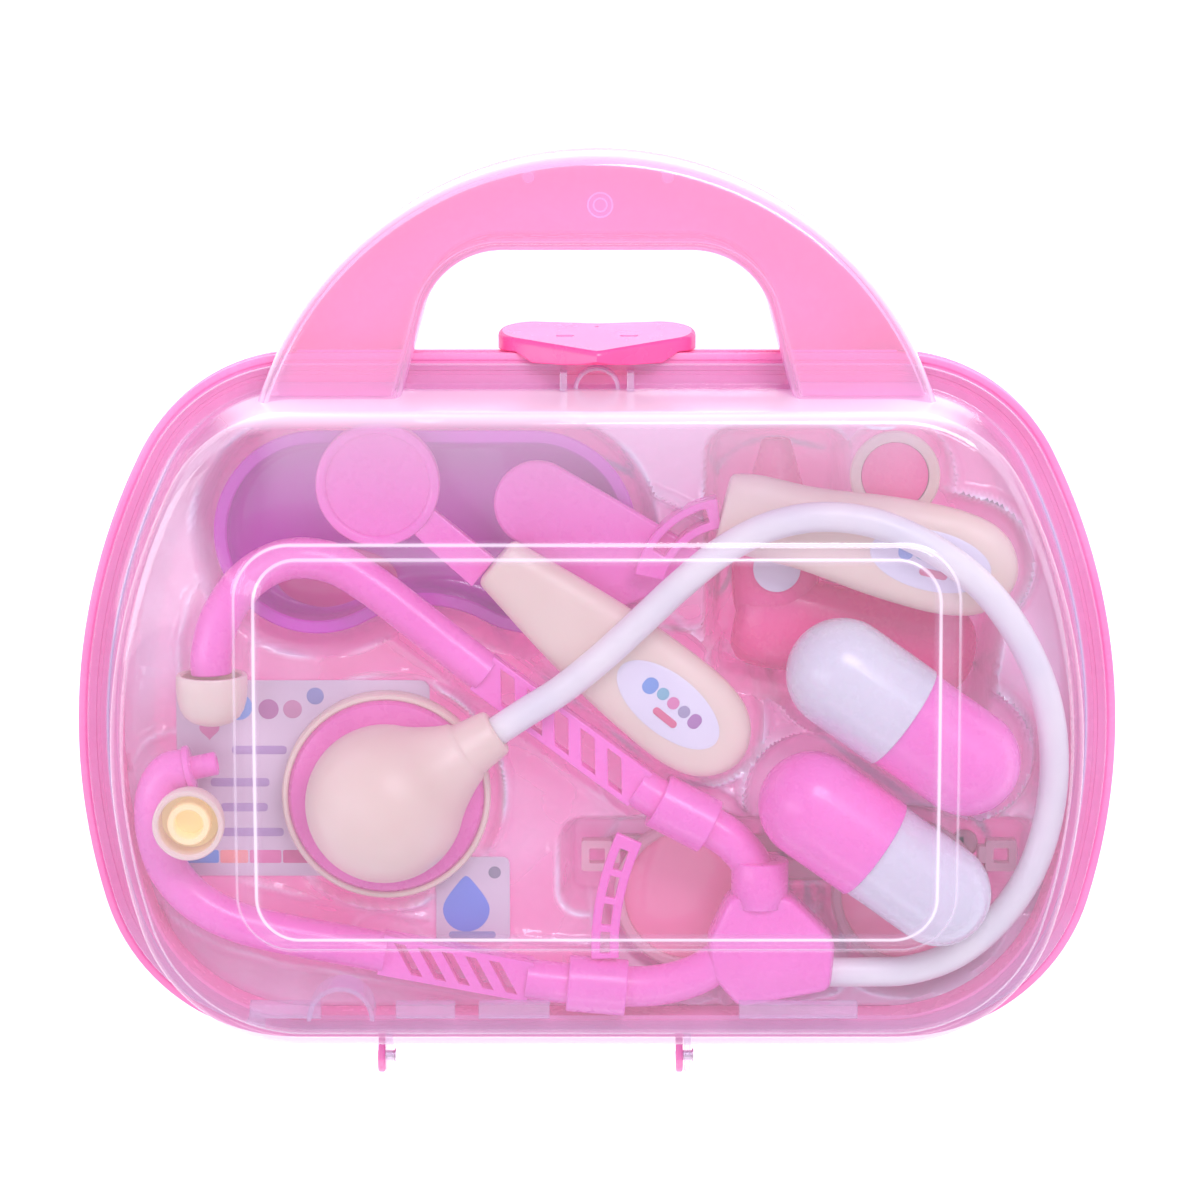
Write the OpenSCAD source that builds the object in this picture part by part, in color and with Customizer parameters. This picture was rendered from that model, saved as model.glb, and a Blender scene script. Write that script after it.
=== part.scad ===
// Toy doctor case, lying on its back with the clear lid up. Millimetres.
// X runs along the hinge, Y from the hinge to the carry handle, Z out of the lid.
// The origin is on the back face, under the middle of the case.

/* [Case] */
// Width over the rim
case_w = 262; // [258:1:272]
// Middle of the case to the rim at the handle side
rim_top = 88; // [87:0.5:92]
// Middle of the case to the rim at the hinge side
rim_bottom = 88; // [87:0.5:92]
// Corner radius of the rim at the handle side
corner_top = 45; // [42:1:50]
// Corner radius of the rim at the hinge side
corner_bottom = 50; // [46:1:54]
// Radius of the bowed sides
side_r = 158; // [150:1:180]
// Height of the pink base, to the land that carries the lid
base_h = 34; // [32:0.5:38]
// Height of the clear lid above the land, without its raised panel
lid_h = 32; // [31:0.5:36]
// Wall of the base
base_wall = 2; // [1.6:0.1:2.4]
// Wall of the lid
lid_wall = 1.6; // [1.4:0.1:2]
// Rounding between the back and the walls
back_round = 6; // [4:0.5:8]
// Rounding between the front face and the lid walls
face_round = 4; // [3:0.5:5]

/* [Rim] */
// How far the rim stands out from the walls
flange = 8; // [7:0.5:9]
// How far the rim stands out at the hinge
flange_hinge = 3; // [2.8:0.1:3.4]
// Thickness of the flanges
flange_t = 2; // [1.6:0.1:2.4]
// Depth of the down-turned edge of the base rim
rim_skirt = 7; // [5:0.5:9]
// Width of the raised lip round the base rim
lip_w = 2.2; // [1.8:0.1:2.3]
// Height of that lip above the land
lip_h = 0.6; // [0.4:0.1:1]

/* [Raised panel] */
// Width of the raised panel on the lid
panel_w = 178; // [150:1:184]
// Length of the raised panel
panel_l = 101.6; // [90:0.2:106]
// Middle of the panel, towards the handle
panel_y = -6; // [-8:0.5:-4]
// Corner radius of the panel
panel_r = 14; // [10:1:18]
// How far the panel stands up, and the width of its bevel
panel_rise = 3.6; // [2:0.1:3.6]

/* [Handle] */
// Outer radius of the handle arch
handle_r = 88.3; // [86:0.1:92]
// Centre of the arch, from the middle of the case
handle_y = 50; // [48:0.5:52]
// Depth of each half of the handle
handle_d = 16; // [12:0.5:18]
// Top of the hand hole, from the middle of the case
grip_y = 114.3; // [112:0.1:116]
// Corner radius of the hand hole
grip_r = 20; // [17:0.5:22]
// Half the straight top of the hand hole
grip_x = 23.3; // [20:0.1:26]
// Slant of the sides of the hand hole, in degrees
grip_slant = 14.6; // [10:0.2:16]

/* [Latch] */
// Width of the heart-shaped latch
latch_w = 49.4; // [46:0.2:54]
// Radius of the lobes of the heart
latch_lobe_r = 9; // [8:0.2:10]
// Height of the lobe centres above the back
latch_lobe_z = 27.2; // [26.8:0.1:28]
// Height of the heart's point above the back
latch_tip_z = 47; // [45:0.5:49]
// Wall of the latch
latch_wall = 1.8; // [1.5:0.1:2]
// Radius of the latch pin
latch_pin_r = 1.5; // [1.2:0.1:1.7]
// Running gap round each pin
pin_gap = 0.08; // [0.05:0.01:0.1]

/* [Hinge] */
// Distance of the two hinge stations from the middle
hinge_x = [-54, 22];
// Hinge axis beyond the rim
hinge_out = 4.6; // [4.5:0.1:5.5]
// Outer radius of the hinge eyes
eye_r = 4.3; // [3.8:0.1:4.4]
// Thickness of each hinge lug
lug_t = 1.8; // [1.4:0.1:2.2]
// Radius of the hinge pins
hinge_pin_r = 1.3; // [1:0.1:1.5]

/* [Tray] */
// Height of the tray's top face above the back
tray_top = 26; // [25:0.5:28]
// Sheet thickness of the tray
tray_t = 1; // [0.8:0.1:1.4]
// Gap between the tray and the base walls
tray_gap = 0.6; // [0.4:0.1:1]
// Depth of the pocket for the dish
dish_pocket = 15; // [14.5:0.5:17]
// Depth of the pocket for the scope
scope_pocket = 20.5; // [20:0.5:21.5]
// Depth of the pocket for the spectacles
specs_pocket = 14; // [12:0.5:16]
// Gap round a tool in its pocket
pocket_gap = 1.5; // [1:0.1:2]
// Gap between a tool and what it rests on
rest_gap = 0.3; // [0.2:0.05:0.4]

/* [Dish and cards] */
// Radius of each end of the kidney dish
dish_r = 26; // [24:0.5:27]
// Distance between the end centres of the dish
dish_span = 55; // [52:0.5:56]
// Height of the dish
dish_h = 13; // [11:0.5:13.5]
// Width and height of the name card
name_card = [64.5, 51];
// Width and height of the small card
small_card = [19, 22.5];
// Thickness of the cards
card_t = 0.5; // [0.4:0.05:0.8]

/* [Capsules] */
// Length of a capsule
capsule_l = 66.5; // [60:0.5:68]
// Radius of the wide half of a capsule
capsule_r = 14.2; // [13:0.1:14.6]
// Step between its two halves
capsule_step = 0.5; // [0.3:0.1:1]

/* [Stethoscope] */
// Radius of the disc
disc_r = 26.5; // [24:0.5:27]
// Thickness of the disc
disc_t = 7.6; // [6:0.2:7.8]
// Radius of the drop-shaped bell
bell_r = 20; // [18:0.5:20.5]
// Middle of the disc to the end of the bell's neck
bell_reach = 34; // [33.5:0.5:35]
// Diameter of the white hose
hose_d = 7.5; // [6.5:0.1:7.5]
// Diameter of the ear arms
arm_d = 10.4; // [9:0.1:10.6]
// Diameter of the collars on the arms
collar_d = 14.4; // [13:0.2:14.8]
// Length of a collar
collar_l = 15; // [12:0.5:16]
// Radius of an ear tip
tip_r = 9; // [8:0.1:9.2]

/* [Tools] */
// Width of a tool handle at its widest
grip_w = 27; // [24:0.5:27]
// Thickness of a tool handle
grip_t = 12; // [10:0.5:12.5]
// Radius of the toy mirror
mirror_r = 15.6; // [14:0.2:15.8]
// Thickness of the mirror
mirror_t = 5; // [4:0.5:6]
// Length of the scope's handle
scope_l = 62; // [56:0.5:63]
// Radius of the scope's cone at its foot
cone_r = 9.5; // [8:0.5:9.5]
// Radius of the magnifier ring
loupe_r = 11.4; // [10:0.2:11.6]

/* [Spectacles] */
// Radius of a lens opening
lens_r = 17; // [15:0.5:17.5]
// Distance between the lens centres
lens_span = 56; // [50:0.5:58]
// Thickness of the front frame
specs_t = 4; // [3:0.2:5]
// Length over the two end lugs
specs_w = 112; // [106:1:113]

/* [Hidden] */
case_pink = [1, 0.5, 0.76];
tool_pink = [0.98, 0.55, 0.87];
hot_pink = [0.93, 0.42, 0.68];
cream = [1, 0.9, 0.85];
clear = [0.97, 0.9, 0.96, 0.35];
purple = [0.78, 0.45, 0.78, 0.8];

arc_n = 9; // points on each corner arc
side_n = 7; // points inside each bowed side
side_y = -8; // centre height of the bowed sides
parting = base_h + 0.2; // underside of the lid's flange
face_z = base_h + lid_h;
lid_draft = 3; // how far the lid walls lean in
base_draft = 1.5; // how far the base walls lean in
lid_flange_in = lip_w + 0.3; // the lid's flange lies inside the lip
skirt_t = 1.6; // thickness of the rim's down-turned edge
corner_drop = 5; // how much tighter the wall's hinge corners are

// half-width, top, bottom, top corner, bottom corner, side radius
rim = [case_w / 2, rim_top, -rim_bottom, corner_top, corner_bottom, side_r];
wall = [case_w / 2 - flange, rim_top - flange, flange_hinge - rim_bottom,
    corner_top - flange, corner_bottom - corner_drop, side_r - flange];
flat_side_r = 5000; // a bow so slight that the panel's sides are straight
panel = [panel_w / 2, panel_y + panel_l / 2, panel_y - panel_l / 2, panel_r, panel_r, flat_side_r];

latch_y = rim_top - 1; // latch pin, from the middle of the case
latch_z = 22; // latch pin above the back
latch_top = rim_top + 6.3; // top of the latch at its lobes
latch_slope = 9.4; // its top face falls towards the point
latch_clear = 0.3; // gap between the latch and the rims it closes over
ear_x = 12; // inner face of the base's latch ears
ear_t = 2.5; // thickness of those ears
ear_r = 3.4; // radius of the eyes on the latch pin

left = -wall[0]; // outer face of the left wall, which the pieces beside it follow
card_in = 16; // name card's edge, from that wall
card_gap = 1.2; // between the two cards
specs_in = 71; // middle of the spectacles, from the outer face of the right wall
tip_in = 26; // raised ear tip's middle, from that wall
loose_tip_in = 20.6; // loose ear tip's middle, from that wall
bend_in = 11; // outermost middle of the lower arm's bend, from that wall
hinge_y = -rim_bottom - hinge_out;
hinge_z = base_h + 1;
lug_gap = 0.2; // side gap between two lugs

tool_z = tray_top + rest_gap; // underside of what lies on the tray
card_z = tray_top + rest_gap;
arm_z = tray_top + rest_gap + collar_d / 2; // middle of the ear arms, whose collars lie on the tray
tip_z = card_z + card_t + rest_gap + tip_r; // middle of the raised ear tip
tip_sunk = 3.3; // how far the loose ear tip sits down beside the lower arm
neck_z = arm_z + 7.4; // middle of the bell's neck and of the hose there
disc_c = [-53.5, -25.4];
bell_turn = 33.3; // direction of the bell's neck

// ---- outlines and lofts ----

// points on an arc, ends included
function arc(c, r, a, b, n) = [for (i = [0 : n]) let (t = a + (b - a) * i / n)
    [c[0] + r * cos(t), c[1] + r * sin(t)]];

// closed outline of one size vector, drawn in by d: two corners and a bowed side, mirrored
function outline(s, d = 0) =
    let (w = s[0] - d, t = s[1] - d, b = s[2] + d, rt = s[3] - d, rb = s[4] - d, rs = s[5] - d,
        sx = w - rs,
        tx = sx + sqrt(pow(rs - rt, 2) - pow(t - rt - side_y, 2)),
        bx = sx + sqrt(pow(rs - rb, 2) - pow(side_y - b - rb, 2)),
        at = atan2(t - rt - side_y, tx - sx),
        ab = atan2(b + rb - side_y, bx - sx),
        right = concat(arc([bx, b + rb], rb, -90, ab, arc_n),
            [for (i = [1 : side_n]) let (a = ab + (at - ab) * i / (side_n + 1))
                [sx + rs * cos(a), side_y + rs * sin(a)]],
            arc([tx, t - rt], rt, at, 90, arc_n)),
        n = len(right))
    concat(right, [for (i = [n - 1 : -1 : 0]) [-right[i][0], right[i][1]]]);

function at_z(points, z) = [for (p = points) [p[0], p[1], z]];

// arch of the handle drawn in by d, ending at y = foot: as many points outside as round the hand hole
function arch(d, foot) =
    let (r = handle_r - d, a0 = asin((foot - handle_y) / r), c = [grip_x, grip_y - grip_r],
        g = grip_r + d, s = grip_slant, side = c[1] + g * sin(s) - foot,
        half = concat([for (k = [1, 0.5]) [c[0] + g * cos(s) + k * side * tan(s), foot + (1 - k) * side]],
            arc(c, g, s, 90, 10), [[c[0] / 2, c[1] + g]]), n = len(half))
    concat(arc([0, handle_y], r, a0, 180 - a0, 2 * n - 1),
        [for (p = half) [-p[0], p[1]]], [for (i = [n - 1 : -1 : 0]) half[i]]);

// closing face over ring k: one polygon, or strips where the outline folds back on itself
function cap(n, k, folded) = !folded ? [[for (i = [0 : n - 1]) k * n + i]]
    : [for (i = [0 : n / 2 - 2]) each [[k * n + i, k * n + i + 1, k * n + n - 2 - i],
        [k * n + i, k * n + n - 2 - i, k * n + n - 1 - i]]];

function flipped(faces) = [for (f = faces) [for (i = [len(f) - 1 : -1 : 0]) f[i]]];

// solid skin through rings of equal length, closed at both ends
module loft(rings, folded = false) {
    n = len(rings[0]);
    m = len(rings);
    polyhedron(points = [for (r = rings) for (p = r) p], convexity = 12,
        faces = concat(cap(n, 0, folded),
            [for (k = [0 : m - 2]) for (i = [0 : n - 1]) let (j = (i + 1) % n)
                each [[k * n + i, (k + 1) * n + i, (k + 1) * n + j],
                    [k * n + i, (k + 1) * n + j, k * n + j]]],
            flipped(cap(n, m - 1, folded))));
}

// body along X through [x, half-width, half-height, z] sections
module blend(sections, sides = 20) {
    loft([for (s = sections) [for (i = [0 : sides - 1]) let (a = 360 * i / sides)
        [s[0], s[1] * cos(a), s[3] + s[2] * sin(a)]]]);
}

function unit(v) = v / norm(v);

// smooth curve through hand-set points, with k steps to each stretch
function smooth(p, k) = let (n = len(p)) concat([for (i = [0 : n - 2]) for (j = [0 : k - 1])
    let (t = j / k, a = p[max(i - 1, 0)], b = p[i], c = p[i + 1], d = p[min(i + 2, n - 1)])
    0.5 * (2 * b + (c - a) * t + (2 * a - 5 * b + 4 * c - d) * t * t
        + (3 * b - a - 3 * c + d) * t * t * t)], [p[n - 1]]);

// round tube along a path
module sweep(path, r, sides) {
    n = len(path);
    loft([for (i = [0 : n - 1])
        let (t = unit(path[min(i + 1, n - 1)] - path[max(i - 1, 0)]),
            u = unit(cross([0, 0, 1], t)), v = cross(t, u))
        [for (k = [0 : sides - 1]) path[i] + r * (cos(360 * k / sides) * u + sin(360 * k / sides) * v)]]);
}

// ---- case ----

module base_shell() color(case_pink) {
    flange_z = base_h - flange_t;
    difference() {
        union() {
            base_tub(flange_z);
            base_handle();
            for (s = [-1, 1]) latch_ear(s * (ear_x + ear_t / 2));
            for (x = hinge_x) base_lug(x);
        }
        for (s = [-1, 1]) translate([s * (ear_x + ear_t / 2), latch_y, latch_z])
            rotate([0, 90, 0]) cylinder(h = ear_t + 2, r = latch_pin_r, center = true, $fn = 32);
        for (x = hinge_x) translate([x, hinge_y, hinge_z])
            rotate([0, 90, 0]) cylinder(h = 4 * lug_t, r = hinge_pin_r, center = true, $fn = 32);
    }
}

// the base: back, walls, rim with its down-turned edge, land for the lid
module base_tub(flange_z) {
    inner_round = back_round - base_wall;
    skirt_z = base_h - rim_skirt;
    loft(concat(
        [for (a = [0 : 30 : 90]) at_z(outline(wall, back_round * (1 - sin(a)) + base_draft),
            back_round * (1 - cos(a)))],
        [at_z(outline(wall, 0), flange_z), at_z(outline(rim, skirt_t), flange_z),
            at_z(outline(rim, skirt_t), skirt_z), at_z(outline(rim, 0), skirt_z),
            at_z(outline(rim, 0), base_h + lip_h), at_z(outline(rim, lip_w - 0.4), base_h + lip_h),
            at_z(outline(rim, lip_w), base_h), at_z(outline(wall, base_wall), base_h)],
        [for (a = [90 : -30 : 0])
            at_z(outline(wall, base_wall + base_draft + inner_round * (1 - sin(a))),
                base_wall + inner_round * (1 - cos(a)))]));
}

// base half of the carry handle, open towards the lid and cut back where the lid's flange lies
module base_handle() {
    foot = wall[1] - base_draft / 2 - 0.9;
    low = base_h - handle_d;
    high = base_h + lip_h;
    t = base_wall;
    difference() {
        loft([at_z(arch(2.6, foot), low), at_z(arch(1, foot), low + 1.4),
            at_z(arch(0.3, foot), low + 4), at_z(arch(0, foot), high),
            at_z(arch(t, foot + t), high), at_z(arch(t + 0.3, foot + t), low + t)], folded = true);
        translate([0, 0, base_h - flange_t / 4]) linear_extrude(flange_t) polygon(outline(rim, lip_w - 0.7));
    }
}

module latch_ear(x) {
    reach = latch_y - wall[1] + 1.2;
    translate([x, latch_y, latch_z]) {
        rotate([0, 90, 0]) cylinder(h = ear_t, r = ear_r, center = true, $fn = 48);
        translate([-ear_t / 2, -reach, -ear_r]) cube([ear_t, reach, 2 * ear_r]);
    }
}

// eye and arm below the hinge line
module base_lug(x) {
    arm = hinge_out + skirt_t / 2;
    translate([x - lug_t - lug_gap / 2, hinge_y, hinge_z]) {
        rotate([0, 90, 0]) cylinder(h = lug_t, r = eye_r, $fn = 48);
        translate([0, 0, -eye_r]) cube([lug_t, arm, eye_r - 1 + lip_h]);
    }
}

module lid_shell() color(clear) {
    difference() {
        union() {
            lid_dome();
            lid_handle();
            for (x = hinge_x) lid_lug(x);
            lid_catch();
        }
        for (x = hinge_x) translate([x, hinge_y, hinge_z]) rotate([0, 90, 0])
            cylinder(h = 4 * lug_t, r = hinge_pin_r + pin_gap, center = true, $fn = 32);
        translate([-2.6, wall[1] + 1.6, parting + flange_t + 1]) cube([5.2, 6, 1.8]);
    }
}

// the lid: ceiling, raised panel, walls and flange
module lid_dome() {
    t = lid_wall;
    top = face_z + panel_rise;
    loft([at_z(outline(panel, panel_rise + 0.6), top - t), at_z(outline(panel, 0.9), face_z - t),
        at_z(outline(wall, lid_draft + face_round + 1), face_z - t),
        at_z(outline(wall, lid_draft + t + 0.7), face_z - face_round),
        at_z(outline(wall, t), parting), at_z(outline(rim, lid_flange_in), parting),
        at_z(outline(rim, lid_flange_in), parting + flange_t),
        at_z(outline(wall, 0), parting + flange_t),
        at_z(outline(wall, lid_draft), face_z - face_round),
        at_z(outline(wall, lid_draft + face_round * 0.3), face_z - face_round * 0.35),
        at_z(outline(wall, lid_draft + face_round), face_z),
        at_z(outline(panel, 0), face_z), at_z(outline(panel, panel_rise), top)]);
}

// lid half of the carry handle, open towards the base
module lid_handle() {
    low = base_h + lip_h + 0.2;
    high = parting + handle_d;
    t = lid_wall + 0.4;
    lean = lid_draft * handle_d / (lid_h - face_round);
    foot = wall[1] - 1.3;
    loft([at_z(arch(t + 0.3, foot - lean + t), high - t), at_z(arch(t, foot + t), low),
        at_z(arch(0, foot), low), at_z(arch(0.3, foot - lean), high - 4),
        at_z(arch(1, foot - lean), high - 1.4), at_z(arch(2.6, foot - lean), high)], folded = true);
}

// eye and arm above the hinge line
module lid_lug(x) {
    arm = hinge_out + flange_hinge + 0.8;
    low = hinge_z - base_h - lip_h - lug_gap;
    translate([x + lug_gap / 2, hinge_y, hinge_z]) {
        rotate([0, 90, 0]) cylinder(h = lug_t, r = eye_r, $fn = 48);
        translate([0, 0, -low]) cube([lug_t, arm, eye_r + low]);
    }
}

// half-round catch and two guide pegs under the latch
module lid_catch() {
    low = parting + flange_t - 0.2;
    y = wall[1] - 0.6;
    intersection() {
        translate([0, y, low]) cylinder(h = 4.4, r = 5.8, $fn = 48);
        translate([-8, y, low]) cube([16, 5.4, 6]);
    }
    for (s = [-1, 1]) translate([s * 8.3 - 0.9, y, low]) cube([1.8, 4.6, 7]);
}

// ---- latch and pins ----

// heart in the X-Z plane, drawn in by g
function heart(g) =
    let (r = latch_lobe_r, c = [latch_w / 2 - r, latch_lobe_z], h = latch_tip_z - c[1],
        dir = -atan2(h, c[0]) + asin(r / norm([c[0], h])),
        tip = latch_tip_z - g / cos(dir), notch = c[1] - r * 0.8 + g)
    concat(arc(c, r - g, -105, 90 + dir, 14), [[0, tip]],
        arc([-c[0], c[1]], r - g, 90 - dir, 285, 14), [[0, notch]]);

module heart_block(g, from_y, to_y) {
    translate([0, to_y, 0]) rotate([90, 0, 0]) linear_extrude(to_y - from_y) polygon(heart(g));
}

// everything above the latch's sloping top face, lowered by d
module above_slope(d) {
    translate([0, latch_top - d, latch_lobe_z - latch_lobe_r]) rotate([-latch_slope, 0, 0])
        translate([-40, 0, -20]) cube([80, 30, 70]);
}

module latch() color(case_pink) {
    front_z = parting + flange_t + latch_clear; // in front of the lid's flange
    rim_y = rim_top + latch_clear; // clear of the base rim
    nose_y = rim_top - lid_flange_in + latch_clear; // clear of the lid's flange
    back_z = base_h - rim_skirt - 1;
    eye_y = latch_y + ear_r + latch_clear;
    difference() {
        union() {
            difference() {
                heart_block(0, nose_y, latch_top + 1);
                above_slope(0);
                difference() {
                    heart_block(latch_wall, nose_y - 1, latch_top);
                    above_slope(latch_wall);
                }
                translate([-40, 0, -1]) cube([80, rim_y, front_z + 1]);
                translate([-40, 0, -1]) cube([80, eye_y, back_z + 1]);
                for (s = [0, 1]) mirror([s, 0, 0]) nose_cut(nose_y, front_z);
            }
            for (s = [-1, 1]) latch_boss(s * (ear_x + ear_t * 1.5 + lug_gap));
            translate([-4, nose_y, latch_tip_z - 5.5]) cube([8, 4, 2]);
        }
        for (s = [-1, 1]) translate([s * 8, latch_top, latch_lobe_z + 5]) rotate([90, 0, 0])
            linear_extrude(20, center = true) slot_2d(4.6, 1.6);
        translate([0, latch_y, latch_z]) rotate([0, 90, 0])
            cylinder(h = 60, r = latch_pin_r + pin_gap, center = true, $fn = 32);
    }
}

// the skirt's lower edge rises to the point
module nose_cut(nose_y, front_z) {
    translate([0, nose_y, front_z]) rotate([0, 0, -12]) translate([-14, -4.8, 0]) cube([28, 6, 30]);
}

module slot_2d(l, w) {
    square([l - w, w], center = true);
    for (s = [-1, 1]) translate([s * (l - w) / 2, 0]) circle(d = w, $fn = 24);
}

// eye under the latch's top that turns on the pin
module latch_boss(x) {
    rise = latch_top - latch_y - 1.6;
    translate([x, latch_y, latch_z]) {
        rotate([0, 90, 0]) cylinder(h = ear_t, r = ear_r, center = true, $fn = 48);
        translate([-ear_t / 2, 0, -ear_r]) cube([ear_t, rise, 2 * ear_r]);
    }
}

module latch_pin() color("silver") {
    l = 2 * (ear_x + 2 * ear_t + lug_gap) + 1;
    translate([0, latch_y, latch_z]) rotate([0, 90, 0])
        cylinder(h = l, r = latch_pin_r, center = true, $fn = 32);
}

module hinge_pins() color("silver") {
    l = 2 * lug_t + lug_gap + 0.6;
    for (x = hinge_x) translate([x - l / 2, hinge_y, hinge_z]) rotate([0, 90, 0]) {
        cylinder(h = l, r = hinge_pin_r, $fn = 32);
        translate([0, 0, l]) cylinder(h = 0.8, r = hinge_pin_r + 0.7, $fn = 32);
    }
}

// ---- tray, dish and cards ----

tray_in = base_wall + tray_gap;
skirt_in = tray_in + back_round + base_draft; // the tray's foot clears the rounded back
dish_c = [-43.5, 41];
scope_c = [66, 13.5];
scope_turn = -10;
scope_head = [45.5, 38];
specs_c = [wall[0] - specs_in, -54];

module tray() color(clear) difference() {
    union() {
        translate([0, 0, tray_top - tray_t]) linear_extrude(tray_t) polygon(outline(wall, tray_in));
        translate([0, 0, base_wall + rest_gap]) linear_extrude(tray_top - base_wall - tray_t)
            difference() {
                polygon(outline(wall, skirt_in));
                polygon(outline(wall, skirt_in + tray_t));
            }
        tub(dish_pocket) dish_plan(pocket_gap + tray_t);
        tub(scope_pocket) scope_plan(pocket_gap + tray_t);
        tub(specs_pocket) specs_plan(pocket_gap + tray_t);
    }
    hollow(dish_pocket) dish_plan(pocket_gap);
    hollow(scope_pocket) scope_plan(pocket_gap);
    hollow(specs_pocket) specs_plan(pocket_gap);
}

module tub(depth) {
    translate([0, 0, tray_top - depth - tray_t]) linear_extrude(depth + tray_t) children();
}

module hollow(depth) {
    translate([0, 0, tray_top - depth]) linear_extrude(depth + 1) children();
}

// kidney outline grown by g
function kidney(g) =
    let (h = dish_span / 2, waist_r = 30, a = acos(h / (dish_r + waist_r)),
        waist = [0, -(dish_r + waist_r) * sin(a)])
    concat(arc([h, 0], dish_r + g, -180 + a, 90, 16), arc([-h, 0], dish_r + g, 90, 360 - a, 16),
        arc(waist, waist_r - g, 180 - a - 8, a + 8, 8));

module dish_plan(g) translate(dish_c) polygon(kidney(g));

module kidney_dish() color(purple) {
    wall_t = 1.4;
    floor_z = tray_top - dish_pocket + rest_gap;
    lip = 2; // turned-out rim
    translate([dish_c[0], dish_c[1], floor_z])
        loft([at_z(kidney(-lip - 3), 0), at_z(kidney(-lip - 1.4), 1), at_z(kidney(-lip), 4),
            at_z(kidney(-lip), dish_h - wall_t), at_z(kidney(0), dish_h - wall_t),
            at_z(kidney(0), dish_h), at_z(kidney(-lip - wall_t), dish_h),
            at_z(kidney(-lip - wall_t), 4), at_z(kidney(-lip - 4), wall_t)]);
}

module card(size, corner) {
    linear_extrude(card_t) hull() for (x = [corner, size[0] - corner], y = [corner, size[1] - corner])
        translate([x, y]) circle(r = corner, $fn = 24);
}

module name_card() color("lavender") translate([left + card_in, -47.5, card_z]) card(name_card, 2.5);

module small_card() color("thistle")
    translate([left + card_in + name_card[0] + card_gap, -65, card_z]) card(small_card, 2);

// ---- spectacles ----

specs_z = tray_top - specs_pocket + rest_gap;
temple_t = 3;
lug_w = 8; // square lugs that carry the temples

module specs_plan(g) {
    for (s = [-1, 1]) translate(specs_c + [s * lens_span / 2, -0.5]) circle(r = lens_r + 2.6 + g, $fn = 64);
    translate(specs_c + [-specs_w / 2 - g, 2 - g]) square([specs_w + 2 * g, 14 + 2 * g]);
}

module spectacle_frame() color("mistyrose") {
    end_l = specs_w / 2 - lens_span / 2 - lens_r; // from a lens to the end lug
    end_x = (specs_w / 2 - 1 + lens_span / 2 + lens_r) / 2;
    translate([specs_c[0], specs_c[1], specs_z + temple_t + rest_gap]) difference() {
        union() {
            for (s = [-1, 1]) {
                translate([s * lens_span / 2, -0.5]) cylinder(h = specs_t, r = lens_r + 2.6, $fn = 64);
                translate([s * (specs_w - lug_w) / 2 - lug_w / 2, 6, 0]) cube([lug_w, lug_w, specs_t]);
                translate([s * end_x - end_l / 2, 8, 0]) cube([end_l, 4.5, specs_t]);
            }
            translate([-lens_span / 2 + lens_r - 3, 4, 0]) cube([lens_span - 2 * lens_r + 6, 5, specs_t]);
        }
        for (s = [-1, 1]) {
            translate([s * lens_span / 2, -0.5, -1]) cylinder(h = specs_t + 2, r = lens_r, $fn = 64);
            translate([s * (specs_w - lug_w) / 2 - 2, 8, -1]) cube([4, 4, specs_t + 2]);
        }
    }
}

module spectacle_lenses() color([1, 0.6, 0.75, 0.5])
    for (s = [-1, 1]) translate([specs_c[0] + s * lens_span / 2, specs_c[1] - 0.5,
        specs_z + temple_t + rest_gap + 1]) cylinder(h = 1.2, r = lens_r - 0.05, $fn = 64);

// temples folded behind the frame
module spectacle_temples() color("mistyrose")
    for (s = [-1, 1]) translate([specs_c[0] - s * 3, specs_c[1] + s * 3.8 + 8.4, specs_z]) {
        translate([-46, -2.2, 0]) cube([92, 4.4, temple_t]);
        translate([s * 46, 0, 0]) cylinder(h = temple_t, r = 3.4, $fn = 32);
    }

// ---- scope and magnifier ----

module scope_plan(g) {
    translate(scope_c) rotate(scope_turn) square([scope_l + 2 * g, grip_w - 2 + 2 * g], center = true);
    translate([scope_head[0] - 13 - g, scope_c[1]]) square([26 + 2 * g, 52 + g]);
}

module scope_body() color(hot_pink) {
    z = tray_top - scope_pocket + rest_gap + 10;
    h = scope_l / 2;
    w = grip_w / 2 - 1;
    translate([scope_c[0], scope_c[1], z]) rotate(scope_turn)
        blend([[-h, 9, 5, 0], [-h + 3, w - 1, 7, 0], [-h + 10, w, 8.6, 0], [0, w - 1, 8, 0],
            [h - 14, w, 8, 0], [h - 5, w - 2, 7, 0], [h - 1, 7, 4.4, 0], [h, 3, 2, 0]]);
    translate([scope_head[0], 0, z]) rotate([0, 0, 90])
        blend([[17, 9, 7, 0], [24, 11, 8.4, 0], [40, 11, 9, 0], [45.6, 10.4, 9, 0]]);
}

module scope_cone() color(tool_pink) {
    z = tray_top - scope_pocket + rest_gap + 10;
    translate([scope_head[0], 45.9, z]) rotate([-90, 0, 0]) rotate_extrude($fn = 64)
        polygon([[0, 0], [cone_r, 0], [cone_r, 2], [cone_r * 0.8, 4], [cone_r * 0.36, 18], [0, 18]]);
}

module scope_window() color("lavender") {
    z = tray_top - scope_pocket + rest_gap + 19.2;
    translate([scope_head[0], 32, z]) cylinder(h = 0.8, r = 6, $fn = 48);
}

loupe_c = [75, 56];

module loupe_ring() color(cream) translate([loupe_c[0], loupe_c[1], tool_z]) difference() {
    cylinder(h = 1.6, r = loupe_r, $fn = 64);
    translate([0, 0, -1]) cylinder(h = 4, r = loupe_r - 2.8, $fn = 64);
}

module loupe_lens() color(hot_pink) translate([loupe_c[0], loupe_c[1], tool_z])
    cylinder(h = 1.2, r = loupe_r - 2.85, $fn = 64);

// ---- mirror and paddle ----

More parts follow.
